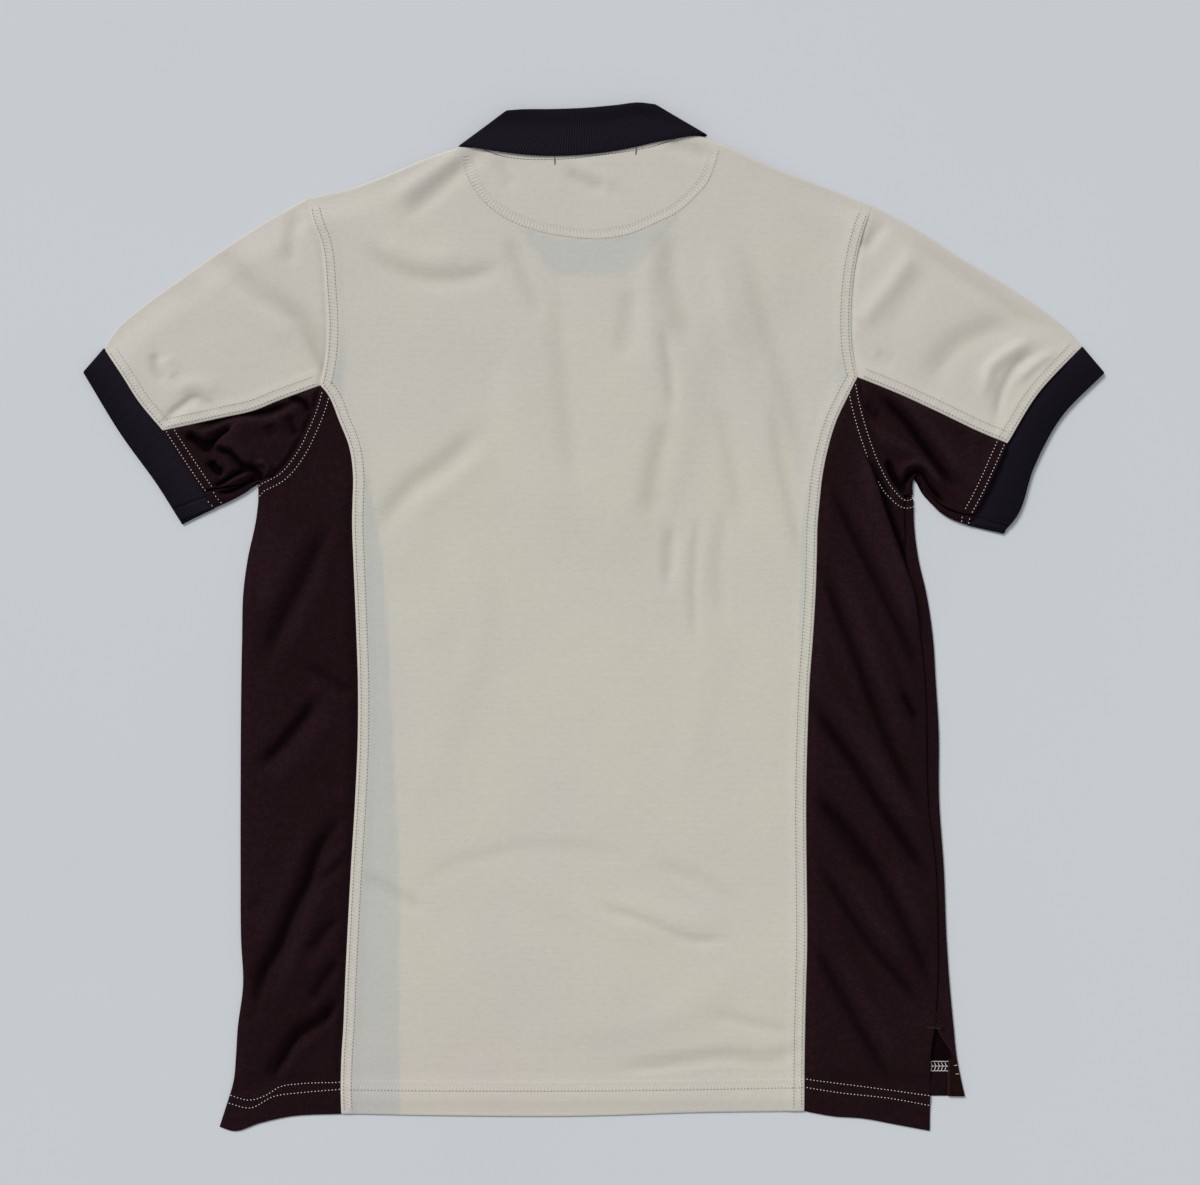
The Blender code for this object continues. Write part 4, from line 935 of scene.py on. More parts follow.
paleThread = threadMaterial("paleThread", (0.56, 0.54, 0.48))
whiteThread = threadMaterial("whiteThread", (0.66, 0.622, 0.615))
# Painted shade: dark spindles between stitches where the thread dips into the cloth, fainter for some rows
holeShade = threadMaterial("holeShade", (0.17, 0.155, 0.135))
faintShade = threadMaterial("faintShade", (0.37, 0.345, 0.305))
tickLight = threadMaterial("tickLight", (0.60, 0.572, 0.52))
seamThread = threadMaterial("seamThread", (0.10, 0.066, 0.056))
tackThread = threadMaterial("tackThread", (0.17, 0.125, 0.11))
rustThread = threadMaterial("rustThread", (0.0222, 0.0083, 0.0083), 0.04)
blushThread = threadMaterial("blushThread", (0.034, 0.018, 0.0175), 0.08)
print("materials made")


def showPiece(name, made, slot, *nodes):
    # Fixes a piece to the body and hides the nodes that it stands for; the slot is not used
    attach(made, "root")
    if nodes:
        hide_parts(*nodes)
    return made


def troughShadeMask(plan, names, depth=3.6):
    # Share of painted shade at the bottom of the troughs
    return np.clip(-creaseHeight(plan, names) / depth, 0, 1)


def foldMasks(plan, names, depth, height):
    # Painted shade at the bottom of the troughs and painted highlight along the ridges, from the creases' own
    # height
    folds = creaseHeight(plan, names)
    return {"hollow": 0.9 * softStep(-folds / depth), "crest": softStep(folds / height)}


backCells = {"across": 3.4, "fine": 1.0, "down": 3.1, "hemFrom": 0.955, "hemRows": 24}


def makeBackBody():
    # The back layer between its seams, turned down along the shoulders and plain along the neck
    left, right = sides["left"]["back"], sides["right"]["back"]
    parts = [dense(shoulders["left"]), dense(neckSeam), dense(shoulders["right"])]
    top = joined(*parts)
    u = stations(alongOf(top)[-1], backCells["across"], backCells["fine"], 16)
    v = stations(alongOf(left)[-1], backCells["down"], backCells["down"], 10, "start", 4.0)
    start = backCells["hemFrom"]
    v = np.concatenate([v[v < start], np.linspace(start, 1, backCells["hemRows"])])
    grid = coons(top, dense(hems["back"]), left, right, u, v)
    lengths = [alongOf(part)[-1] for part in parts]
    share = u * alongOf(top)[-1]
    sewn = (share >= lengths[0] - 0.5) & (share <= lengths[0] + lengths[1] + 0.5)
    edge, inside = grid[0], grid[1]
    high, low = backHeight(edge, ["pale"]), frontHeight(edge)
    turned = turnedRows(edge, inside, backFold[::-1], high, low)
    plain = plainRows(edge, inside, 4, bodyTop)
    rows = np.where(sewn[None, :, None], plain, turned)
    body = raiseTo(grid[1:], bodyTop)
    points = np.concatenate([rows, body])
    plan = points[..., :2]
    warm = softStep((-270 - plan[..., 1]) / 110) * softStep((120 - plan[..., 0]) / 200)
    # Painted show-through and painted shade in the troughs, and a warmer tone low at the left
    masks = {"showThrough": showThroughMask(plan), "hollow": troughShadeMask(plan, ["pale"], 2.6), "warm": warm}
    made = clothWall("backBody", points, cloth["thickness"], paleKnit, masks=masks)
    return showPiece("backBody", made, "pale_knit", "back_body")


# The front neckline under the pale back: across, then up
crescentEdge = ((-110, -68, -36, -24, 20, 32, 64, 90), (376, 319, 275, 271.2, 271, 275, 312, 384))


def showThroughMask(plan):
    # Painted show-through: where dark cloth lies right under the pale back (the front side panels, and the
    # collar's leaves at the neck), a darker, cooler tone stands in for light passing through the pale knit
    x, y = plan[..., 0], plan[..., 1]
    order = np.argsort(frontSeams["y"])
    leftLine = np.interp(y, frontSeams["y"][order], frontSeams["left"][order])
    rightLine = np.interp(y, frontSeams["y"][order], frontSeams["right"][order])
    leftLine = np.where(y > 174, mix(-199, -196, (y - 174) / 60), leftLine)
    rightLine = np.where(y > 174, 194, rightLine)
    fadeTop = softStep((240 - y) / 60)
    strips = np.maximum(softStep((leftLine - x - 0.2) / 2.4), softStep((x - rightLine + 1.2) / 2.4)) * fadeTop
    sewn = [distanceTo(plan, sides[side]["back"][::3]) for side in sides]
    strips = strips * softStep((np.minimum(*sewn) - 7.6) / 1.2)
    neckline = np.interp(x, *crescentEdge)
    offset = np.abs(plan - moon["centre"]) / (moon["halfWidth"], moon["depth"])
    belowMoon = softStep(((offset ** moon["power"]).sum(-1) - 1.0) / 0.03)
    crescent = softStep((y - neckline) / 3.0) * belowMoon * softStep((75 - np.abs(x)) / 10)
    return np.clip(strips + 0.85 * crescent, 0, 1)


makeBackBody()
print("back body made")


placketSlot = {"half": 16.0, "end": 150.0}


def frontNeck(end):
    # Parabola from the lowest point of the front neck up to one end of the neck seam
    share = np.arange(6) / 5
    return dense(np.column_stack([mix(neckLow[0], end[0], share), mix(neckLow[1], end[1], share**2)]))


def frontSeamRun(side):
    # The armhole above and below the place where the front's seam leaves it, and that seam down to the hem
    armhole = sides[side]["armhole"]
    leaves = int(len(armhole) * 0.8)
    bend = dense([armhole[leaves], *zip(frontSeams[side][:3], frontSeams["y"][:3])])
    return armhole[:leaves + 1], armhole[leaves:], joined(bend, bodyLine(frontSeams, side))


def makeFrontBody():
    # The front layer on the floor between its seams, turned up along the shoulders, with the placket's slot
    leftNeck, rightNeck = frontNeck(neckLeft), frontNeck(neckRight)
    top = joined(dense(shoulders["left"]), leftNeck[::-1], rightNeck, dense(shoulders["right"]))
    edges = {side: joined(*frontSeamRun(side)[::2]) for side in sides}
    length = alongOf(top)[-1]
    u = stations(length, 5.5)
    v = stations(alongOf(edges["left"])[-1], 5.5, 5.5, 10, "start", 4.0)
    hem = np.array([edges["left"][-1], edges["right"][-1]])
    grid = coons(top, hem, edges["left"], edges["right"], u, v)
    at = u * length
    spans = [alongOf(part)[-1] for part in (dense(shoulders["left"]), leftNeck, rightNeck)]
    neck = (at > spans[0] - 0.5) & (at < sum(spans) + 0.5)
    edge = grid[0]
    turned = turnedRows(edge, grid[1], frontFold, backHeight(edge, ["pale"]), frontHeight(edge))
    plain = plainRows(grid[0], grid[1], 4, frontHeight)
    rows = np.where(neck[None, :, None], plain, turned)
    points = np.concatenate([rows, raiseTo(grid[1:], frontHeight)])
    keep = np.ones((points.shape[0] - 1, points.shape[1] - 1), bool)
    centre = (points[:-1, :-1] + points[1:, 1:]) / 2
    inSlot = (np.abs(centre[..., 0] - neckLow[0]) < placketSlot["half"]) & (centre[..., 1] > placketSlot["end"])
    keep[inSlot] = False
    made = clothWall("frontBody", points, cloth["thickness"], paleKnit, keep=keep)
    showPiece("frontBody", made, "pale_knit", "front_body")
    low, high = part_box("placket")
    x = np.linspace(low[0] * 1000 + 0.1, high[0] * 1000 - 0.1, 12)
    y = np.linspace(high[1] * 1000 - 0.2, low[1] * 1000, 40)
    plan = np.stack(np.meshgrid(x, y), -1)
    plan[0, :, 1] = neckLow[1] + ((x - neckLow[0]) / 100) ** 2 * 105 - 0.6
    strip = clothWall("placketStrip", raiseTo(plan, frontHeight), cloth["thickness"], paleKnit)
    showPiece("placketStrip", strip, "pale_knit", "placket")


makeFrontBody()


def makeHalfMoon():
    # The back's own surface moved down, from the neck seam to the half oval
    arc = moonArc()
    top = offsetRun(dense(neckSeam), 1.2, (0, 300))
    top = top[(top[:, 0] > arc[0, 0] + 1) & (top[:, 0] < arc[-1, 0] - 1)]
    arc = arc[(arc[:, 1] < 372)]
    u = np.linspace(0, 1, 60)
    v = np.linspace(0, 1, 26)
    grid = coons(top, arc, np.array([top[0], arc[0]]), np.array([top[-1], arc[-1]]), u, v)
    drop = cloth["thickness"] / 2 + 0.12 + layers["facing"] / 2
    points = raiseTo(grid, lambda plan: bodyTop(plan) - drop)
    made = clothWall("halfMoonFacing", points, layers["facing"], paleKnit)
    showPiece("halfMoonFacing", made, "pale_knit", "half_moon_facing")


makeHalfMoon()
print("front body, placket and facing made")


# The open vent at the right: the inner edge of the front's rolled strip, from the seam's end down
vent = {
    "lipY": (322, 327, 331, 334.6, 338, 342, 346, 350, 352.5, 354, 384),
    "lipX": (273.6, 274.0, 275.4, 277.4, 279.6, 282.4, 285.2, 287.8, 288.0, 284.2, 283.8),
    "fine": (66.0, 1.1),  # how far up from its end the edge has finer rows, and their step
}


def sideGrid(outer, inner, hem, cell, fine, extra=None):
    # Plan grid of a side panel, rows from the armhole down and columns from the inner seam outwards
    v = stations(alongOf(inner)[-1], cell, fine, 10, "start")
    if extra:
        length = alongOf(outer)[-1]
        v = np.concatenate([v[v < 1 - extra[0] / length - 0.002],
                            np.linspace(1 - extra[0] / length, 1, int(extra[0] / extra[1]) + 1)])
    u = stations(alongOf(hem)[-1], cell, fine, 12)
    top = np.array([inner[0], outer[0]])
    return coons(top, hem, inner, outer, u, v)


def makeBackSide(side):
    # The back's side panel: out to the folded edge at the left and to the side seam at the right
    runs = sides[side]
    if side == "left":
        outer = joined(runs["low"], runs["edge"], np.array([runs["edge"][-1], runs["hem"][0]]))
        hem = runs["hem"][::-1]
    else:
        halfway = np.array([(runs["low"][-6] + runs["sideSeam"][0]) / 2])
        outer = np.concatenate([runs["low"][:-6], halfway, runs["sideSeam"][1:], runs["hem"][-1:]])
        hem = runs["hem"]
    inner = runs["seam"]
    outer, inner = outer[2:], inner[2:]
    grid = sideGrid(outer, inner, hem, 2.2, 0.9)
    seam = grid[:, 0]
    grid[:, 0] = lapped(seam, grid[:, 1])
    top = partial(sideTop, side=side)
    if side == "right":
        points = raiseTo(grid, top)
    else:
        edge = grid[:, -1]
        armpit = alongOf(runs["low"])[-1] / alongOf(outer)[-1]
        v = alongOf(edge) / alongOf(edge)[-1]
        folded = v > armpit + 0.004
        turned = turnedRows(edge, grid[:, -2], backFold, backHeight(edge), frontHeight(edge))
        plain = plainRows(edge, grid[:, -2], 4, top)[::-1]
        rows = np.where(folded[None, :, None], turned, plain)
        keepColumns = raiseTo(grid[:, :-4], top)
        points = np.concatenate([keepColumns, np.swapaxes(rows, 0, 1)], axis=1)
    name = "backSide" + side.capitalize()
    # Painted shade in the troughs and painted highlight on the ridges
    made = clothWall(name, points, cloth["thickness"], brownKnit,
                     masks=foldMasks(points[..., :2], [side + "Side"], 5.6, 2.6))
    showPiece(name, made, "brown_knit", "back_side_" + side)


def ventLevel(plan):
    # Inside the vent the turned edge lies on the front itself
    return frontHeight(plan) + 1.35


def rolledRows(edge, inside, strip, height, low):
    # Rows of a front panel that goes round its edge and lies on the back as far as the strip's line
    high = height(edge)
    turned = turnedRows(edge, inside, wholeFold, high, low)
    near = turned[0, :, :2]
    shares = np.linspace(0, 1, 9)[:-1]
    rows = [mix(strip, near, share) for share in shares]
    lying = np.array([np.column_stack([row, height(row)]) for row in rows])
    return np.concatenate([lying, turned])


def makeFrontSide(side):
    # The front's side panel, turned up round the edge; the right one goes on over the back to the side seam
    runs = sides[side]
    _, upper, inner = frontSeamRun(side)
    outer = joined(upper, runs["low"], runs["edge"])
    outer, inner = outer[6:], inner[6:]
    hem = np.array([inner[-1], outer[-1]])
    grid = sideGrid(outer, inner, hem, 4.0, 3.0, vent["fine"] if side == "right" else None)
    edge, inside = grid[:, -1], grid[:, -3]
    along = alongOf(outer)
    armpit = (alongOf(joined(upper, runs["low"]))[-1] - alongOf(upper[:7])[-1]) / along[-1]
    v = alongOf(edge) / alongOf(edge)[-1]
    folded = v > armpit + 0.004
    low = frontHeight(edge)
    if side == "left":
        turned = turnedRows(edge, inside, frontFold, backHeight(edge), low)
        plain = plainRows(edge, inside, 4, frontHeight)
    else:
        seamX = np.interp(-edge[:, 1], -runs["sideSeam"][:, 1], runs["sideSeam"][:, 0]) + 0.5
        lipX = np.interp(-edge[:, 1], vent["lipY"], vent["lipX"])
        strip = np.column_stack([np.where(edge[:, 1] < -vent["lipY"][0], lipX, seamX), edge[:, 1]])

        def height(plan):
            z = backHeight(plan, ["rightSide"]) + groove(plan, runs["sideSeam"][::4], 0.45, 1.3)
            return mix(z, ventLevel(plan), softStep((-347 - plan[..., 1]) / 8))

        turned = rolledRows(edge, inside, strip, height, low)
        plain = plainRows(edge, inside, len(turned), frontHeight)
    rows = np.where(folded[None, :, None], turned, plain)
    across = np.swapaxes(grid[:, :-2], 0, 1)[::-1]
    points = np.concatenate([rows, raiseTo(across, frontHeight)])
    name = "frontSide" + side.capitalize()
    turnedIn, shaded = np.zeros(points.shape[:2]), np.zeros(points.shape[:2])
    if side == "right":
        turnedIn[:9] = softStep((-349 - points[:9, :, 1]) / 3)
        # Painted shadow: the front's inside in the open vent is darkened down to the hem tape, and less below it
        y = points[15:, :, 1]
        shaded[15:] = 0.2 * softStep((y + 392) / 8) + 0.55 * softStep((y + 362) / 9)
    made = clothWall(name, points, cloth["thickness"], brownKnit, masks={"wrongSide": turnedIn, "hollow": shaded})
    showPiece(name, made, "brown_knit", "front_side_" + side)


for side in ("left", "right"):
    makeBackSide(side)
    makeFrontSide(side)
print("side panels made")


def makeSleeve(side):
    # The pale sleeve: its back half, the fold along its top edge, and its front half below
    runs = sleeveRuns[side]
    left, right = sides[side]["armhole"], runs["cuff"]
    u = stations(alongOf(runs["top"])[-1], 2.6, 1.0, 12)
    v = stations(alongOf(left)[-1], 2.6, 1.0, 12, "end", 3.4)
    plan = coons(runs["top"], runs["seam"], left, right, u, v)
    back, front = plan.copy(), plan.copy()
    back[:, 0] = lapped(plan[:, 0], plan[:, 2])
    front[:, 0] = lapped(plan[:, 0], plan[:, 2], drawnIn)
    front[:, -1] = back[:, -1] = lapped(plan[:, -1], plan[:, -3], drawnIn)
    front[-1] = lapped(plan[-1], plan[-3], drawnIn)
    edge = front[0]
    fold = turnedRows(edge, plan[1], sleeveFold, backHeight(edge), frontHeight(edge))
    upper = raiseTo(back[:0:-1], partial(sleeveTop, side=side))
    points = np.concatenate([upper, fold, raiseTo(front[1:], frontHeight)])
    name = "sleeve" + side.capitalize()
    uv = grained(points[..., :2], sleeves[side]["grain"])
    # Painted shade in the troughs
    masks = {"hollow": troughShadeMask(points[..., :2], ["sleeves"], 2.8)}
    made = clothWall(name, points, cloth["thickness"], paleKnit, uv=uv, masks=masks)
    showPiece(name, made, "pale_knit", "sleeve_upper_" + side)


def showUnder(name, side, points, masks, node):
    # A finished half of the under sleeve, with its knit turned along the sleeve
    uv = grained(points[..., :2], sleeves[side]["grain"])
    made = clothWall(name + side.capitalize(), points, cloth["thickness"], brownKnit, uv=uv, masks=masks)
    showPiece(name + side.capitalize(), made, "brown_knit", node + side)


def makeUnderBack(side):
    # The under sleeve as it shows: from the pale sleeve's seam to the seam just above its lower edge
    runs, low = sleeveRuns[side], sides[side]["low"]
    shortLow, shortCuff = (run[: int(len(run) * share)]
                           for run, share in zip((low, runs["cuffLow"]), sleeves[side]["meets"]))
    u = stations(alongOf(runs["seam"])[-1], 1.0, 0.8, 8)
    v = stations(alongOf(shortLow)[-1], 1.0, 0.8, 8)
    plan = coons(runs["seam"], underarms[side], shortLow, shortCuff, u, v)
    grid = plan.copy()
    grid[0] = lapped(plan[0], plan[3])
    grid[:, 0] = lapped(plan[:, 0], plan[:, 3])
    grid[-1] = lapped(plan[-1], plan[-4], drawnIn)
    grid[:, -1] = lapped(plan[:, -1], plan[:, -4], drawnIn)
    points = raiseTo(grid, partial(underTop, side=side))
    # Painted shade in the troughs and painted highlight on the ridges
    masks = foldMasks(points[..., :2], [side + "Under"], 4.6, 4.0)
    showUnder("underSleeveBack", side, points, masks, "under_sleeve_back_")


def makeUnderFront(side):
    # Its other half, on the floor, which rolls round the lower edge and lies on the back as far as that seam
    runs = sleeveRuns[side]
    u = stations(alongOf(runs["seam"])[-1], 2.4)
    v = stations(alongOf(sides[side]["low"])[-1], 2.4)
    plan = coons(runs["seam"], runs["under"], sides[side]["low"], runs["cuffLow"], u, v)[::-1]
    for column, inner in ((0, 2), (-1, -3)):
        plan[:, column] = lapped(plan[:, column], plan[:, inner], -0.2)
    strip = resample(underarms[side], u)
    strip = strip + 0.5 * squareTo(strip, runs["under"].mean(0)[None])
    rows = rolledRows(plan[0], plan[2], strip, partial(underTop, side=side), frontHeight(plan[0]))
    points = np.concatenate([rows, raiseTo(plan[2:], frontHeight)])
    # Painted shade in the troughs and painted highlight on the ridges, kept only on the first rolled rows, which
    # lie over the back
    masks = foldMasks(points[..., :2], [side + "Under"], 4.6, 4.0)
    for mask in masks.values():
        mask[len(rows) // 2:] = 0
    showUnder("underSleeveFront", side, points, masks, "under_sleeve_front_")


for side in sides:
    makeSleeve(side)
    makeUnderBack(side)
    makeUnderFront(side)
print("sleeves made")


ribShape = {"pitch": 1.8, "depth": 0.22, "perRib": 4}


def ribbed(points, closed, along):
    # Ribs as a cosine along the rows, pushed out along the surface's normals
    wave = ribShape["depth"] * np.cos(2 * np.pi * along / ribShape["pitch"])
    return points + gridNormals(points, closed) * wave[None, :, None]


# The line across each cuff near its lower end, where its front layer shows beyond the back one
cuffGroove = {"left": [(-335, 87.5), (-309, 97)], "right": [(306.6, 80.4), (331.4, 72.4)]}


def makeCuff(side):
    # A tube pressed flat: back layer, bend, front layer and bend as one closed row, with ribs along it
    runs = sleeveRuns[side]
    inner = wholeCuff[side]
    band = runs["band"]
    ribs = int(alongOf(band)[-1] / ribShape["pitch"])
    u = np.linspace(0, 1, ribs * ribShape["perRib"])
    v = np.concatenate([[0], np.linspace(0.05, 0.97, 9), [1]])
    grid = coons(inner, band, np.array([inner[0], band[0]]), np.array([inner[-1], band[-1]]), u, v)
    grid[0] = lapped(grid[0], grid[2])
    low = cloth["rib"] / 2 + 0.12
    topLevel = low + cloth["rib"] + cloth["gap"]
    across = np.array(cuffGroove[side], float)
    heightTop = lambda plan: (topLevel + 0.25 * latticeNoise(plan, 24, 9) + groove(plan, inner[::4], 0.5, 2.0)
                              + groove(plan, across, 0.8, 1.1))
    start = turnedRows(grid[:, 0], grid[:, 3], wholeFold, np.full(len(grid), topLevel),
                       np.full(len(grid), low), cloth["rib"])[::-1]
    end = turnedRows(grid[:, -1], grid[:, -4], wholeFold, np.full(len(grid), topLevel),
                     np.full(len(grid), low), cloth["rib"])
    back = np.swapaxes(raiseTo(grid[:, 3:-3], heightTop), 0, 1)
    front = np.swapaxes(raiseTo(grid[:, -4:2:-1], lambda plan: np.full(plan.shape[:-1], low)), 0, 1)
    beyond = -squareTo(grid[:, -1], grid[:, -4]) * np.linspace(0.4, 3.0, len(grid))[:, None]
    end[3:, :, :2] += beyond * np.array([0.5, 0.9, 1.0, 1.0])[:, None, None]
    front[:3, :, :2] += beyond * np.array([0.8, 0.5, 0.2])[:, None, None]
    ring = np.swapaxes(np.concatenate([start, back, end, front]), 0, 1)
    middle = ring[len(ring) // 2]
    along = alongOf(middle)
    ring = ribbed(ring, True, along)
    uv = np.stack(np.broadcast_arrays(along[None, :], 26.0 * v[:, None]), -1)
    made = clothWall("cuff" + side.capitalize(), ring, cloth["rib"] - 0.3, blackRib, closed=True, uv=uv)
    showPiece("cuff" + side.capitalize(), made, "black_rib", "cuff_" + side)


for side in ("left", "right"):
    makeCuff(side)

collar = {
    "middle": 4.25, "stand": 1.3, "fall": 3.2, "point": 3.0, "draw": 0.7, "turn": 0.25, "rows": 29,
    "standCorners": ((-101.5, 376.6), (81.5, 384.2)),
}
collarLeaf = [(0.80, 0.62, 362, 1.00, 336), (0.55, 0.44, 330, 0.90, 297), (0.30, 0.24, 309, 0.68, 262),
              (0.02, 0.02, 301, 0.40, 240)]
collarBack = [
    (-68.8, 403.6, -104.8, 377.0), (-57, 404.2, -80, 372.8), (-34, 404.3, -44, 368.9),
    (-10, 405.1, -10, 369.5), (17, 407.4, 25, 374.1), (36, 409.7, 56, 380.9), (48.4, 408.6, 87.0, 386.0),
]


def collarSection(seam, fold, edge, angle, outward):
    # One section, up the stand, round the fold and down the fall; the angle is 0 on the back and 180 in front
    bulge = (collar["fall"] - collar["stand"]) / 2
    rise = (fold - seam) / np.linalg.norm(fold - seam)
    points = [(seam + share * (fold - seam), collar["stand"]) for share in (0, 0.5, 1)]
    for turn in np.radians((45, 90, 135)):
        points.append((fold + rise * bulge * np.sin(turn), collar["stand"] + bulge * (1 - np.cos(turn))))
    points += [(fold + share * (edge - fold), collar["fall"]) for share in (0, 1 / 3, 2 / 3, 1)]
    turned = np.radians(angle)
    pull = collar["turn"] * np.sin(turned) * outward
    return [[*(plan + offset * pull), collar["middle"] + offset * np.cos(turned)] for plan, offset in points]


def leafSections(end):
    # Sections of one leaf on the front, from the placket up, placed by shares of the neck's reach
    reach, tilt = end[0] - neckLow[0], end[1] - neckLeft[1]
    sections = []
    for seam, fold, foldY, edge, edgeY in collarLeaf:
        start = np.array([neckLow[0] + seam * reach, neckLow[1] + seam * seam * (end[1] - neckLow[1])])
        start[1] = max(start[1], neckLow[1] + 2.9) + 0.3
        foldPlace = np.array([neckLow[0] + fold * reach, foldY + fold * tilt])
        edgePlace = np.array([neckLow[0] + edge * reach, edgeY + edge * tilt])
        sections.append(collarSection(start, foldPlace, edgePlace, 180, np.zeros(2)))
    return sections


def refined(sections, parts):
    # More sections between these, on a smooth line
    sections = np.array(sections)
    knots = alongOf(sections[:, 7])
    at = np.concatenate([np.linspace(a, b, parts, endpoint=False) for a, b in zip(knots[:-1], knots[1:])])
    return smooth(np.append(at, knots[-1]), knots, sections)


def makeCollar():
    # Sections from leaf to leaf round the neck, turned over at both ends, spread evenly and ribbed
    back = np.array(collarBack)
    folds, edges = back[:, :2], back[:, 2:]
    neck = resample(dense(neckSeam), np.linspace(0, 1, 7))
    neck[0], neck[-1] = collar["standCorners"]
    turns = []
    for place in (0, -1):
        crease = folds[place] - edges[place]
        outward = np.array([-crease[1], crease[0]]) / np.linalg.norm(crease) * (1 if place == 0 else -1)
        point = -crease / np.linalg.norm(crease) * collar["point"]
        back = -crease / np.linalg.norm(crease) * collar["draw"] / 180
        turns.append([collarSection(neck[place], folds[place] + back * angle,
                                    edges[place] + point * np.sin(np.radians(angle)), angle, outward)
                      for angle in wholeFold])
    middle = [collarSection(neck[n], folds[n], edges[n], 0, np.zeros(2)) for n in range(7)]
    leaves = [leafSections(neckLeft)[::-1], leafSections(neckRight)]
    parts = [
        refined(leaves[0] + [turns[0][-1]], 6)[:-1], np.array(turns[0][::-1])[:-1], refined(middle, 6),
        np.array(turns[1])[1:], refined([turns[1][-1]] + leaves[1], 6)[1:],
    ]
    grid = np.concatenate(parts)
    knots = alongOf(grid[:, 7])
    ribs = int(knots[-1] / ribShape["pitch"])
    at = np.linspace(0, knots[-1], ribs * ribShape["perRib"] + 1)
    spread = np.stack([np.interp(at, knots, column) for column in grid.reshape(len(grid), -1).T], -1)
    grid = spread.reshape(len(at), *grid.shape[1:])
    profile = alongOf(grid[len(grid) // 2])
    shares = np.interp(np.linspace(0, 1, collar["rows"]), [0, 0.35, 0.5, 1], [0, 0.42, 0.5, 1])
    grid = smooth(profile[-1] * shares, profile, np.swapaxes(grid, 0, 1))
    grid[..., 2] = np.maximum(grid[..., 2], cloth["rib"] / 2 + ribShape["depth"])
    grid = ribbed(grid, False, at)
    uv = np.stack(np.broadcast_arrays(at[None, :], profile[-1] * shares[:, None]), -1)
    made = clothWall("collarRib", grid, cloth["rib"] - 0.3, blackRib, uv=uv)
    showPiece("collarRib", made, "black_rib", "collar")


makeCollar()
print("rib collar and cuffs made")


stitch = {"length": 0.95, "width": 0.64, "pitch": 2.7, "hole": 0.8, "holeWidth": 0.78}
# Places along a stitch and its width there, as shares of its length and width
spindle = [(-0.5, 0.62), (0.0, 1.04), (0.5, 0.62)]


def threadMesh(name, starts, ends, width, material):
    # A blunt spindle along each line: rings of six points along x, turned from its start to its end
    turn = np.arange(6) * np.pi / 3
    template = np.array([[x, r * np.cos(t) / 2, r * np.sin(t) / 2] for x, r in spindle for t in turn])
    ring = np.arange(6)
    faces = []
    for n in range(len(spindle) - 1):
        a, b = n * 6 + ring, n * 6 + (ring + 1) % 6
        faces.append(np.column_stack([a, b, b + 6, a + 6])[:, ::-1])
    last = (len(spindle) - 1) * 6
    faces.append(np.array([[3, 2, 1, 0], [5, 4, 3, 0]]))
    faces.append(np.array([[0, 1, 2, 3], [0, 3, 4, 5]]) + last)
    faces = np.concatenate(faces)
    along = ends - starts
    length = np.linalg.norm(along, axis=1, keepdims=True)
    along = along / length
    sideways = np.cross(np.array([0, 0, 1.0]), along)
    sideways /= np.linalg.norm(sideways, axis=1, keepdims=True)
    up = np.cross(along, sideways)
    points = ((starts + ends) / 2)[:, None] + template[None, :, :1] * (along * length)[:, None]
    points = points + width * (template[None, :, 1:2] * sideways[:, None] + template[None, :, 2:] * up[:, None])
    shift = (np.arange(len(starts)) * len(template))[:, None, None]
    made = addMesh(name, points.reshape(-1, 3), (faces[None] + shift).reshape(-1, 4), material)
    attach(made, "root")


def onCloth(plan, height, lift):
    # Plan points on the cloth's upper face, raised by the lift
    return np.column_stack([plan, height(plan) + cloth["thickness"] / 2 + lift])


def stitchEnds(rows, length, shift=0.0, lift=0.10, across=False):
    # Starts and ends of stitches spaced evenly along each row, or of ticks square to it
    starts, ends = [], []
    for run, height in rows:
        whole = alongOf(run)[-1]
        number = max(int(whole / stitch["pitch"]), 1)
        at = (np.arange(number) + 0.5 + shift) * whole / number
        if across:
            middle = resample(run, at / whole)
            before, after = (resample(run, np.clip(at + nudge, 0, whole) / whole) for nudge in (-0.4, 0.4))
            step = after - before
            step = step / np.linalg.norm(step, axis=1, keepdims=True)
            square = np.column_stack([-step[:, 1], step[:, 0]])
            starts.append(onCloth(middle - square * length / 2, height, lift))
            ends.append(onCloth(middle + square * length / 2, height, lift))
        else:
            starts.append(onCloth(resample(run, (at - length / 2) / whole), height, lift))
            ends.append(onCloth(resample(run, (at + length / 2) / whole), height, lift))
    return np.concatenate(starts), np.concatenate(ends)


def makeStitches(name, rows, material, holes=None):
    # Stitches along the rows, and painted shade between them: dark spindles where the thread goes down into the
    # cloth
    threadMesh(name, *stitchEnds(rows, stitch["length"]), stitch["width"], material)
    if holes:
        threadMesh(name + "HoleShadow", *stitchEnds(rows, stitch["hole"], 0.5, 0.08), stitch["holeWidth"], holes)


def makeTicks(name, rows, length, width=0.5):
    # Pale ticks square to each row, over the band between two rows of stitches
    threadMesh(name, *stitchEnds(rows, length, 0, 0.0, True), width, tickLight)


def makeBars(name, starts, ends, height, lift, width, material):
    # One stitch on the cloth from each start to its end
    threadMesh(name, onCloth(starts, height, lift), onCloth(ends, height, lift), width, material)


def trimmed(run, start=0.0, end=0.0):
    # The run without these lengths at its start and its end
    along = alongOf(run)
    shares = np.linspace(start / along[-1], 1 - end / along[-1], max(int(along[-1] / 1.5), 4))
    return resample(run, shares)


bodyRows, armholeRows, cuffRows, sleeveRows, underCuffRows = [], [], [], [], []
sleeveMiddles = []
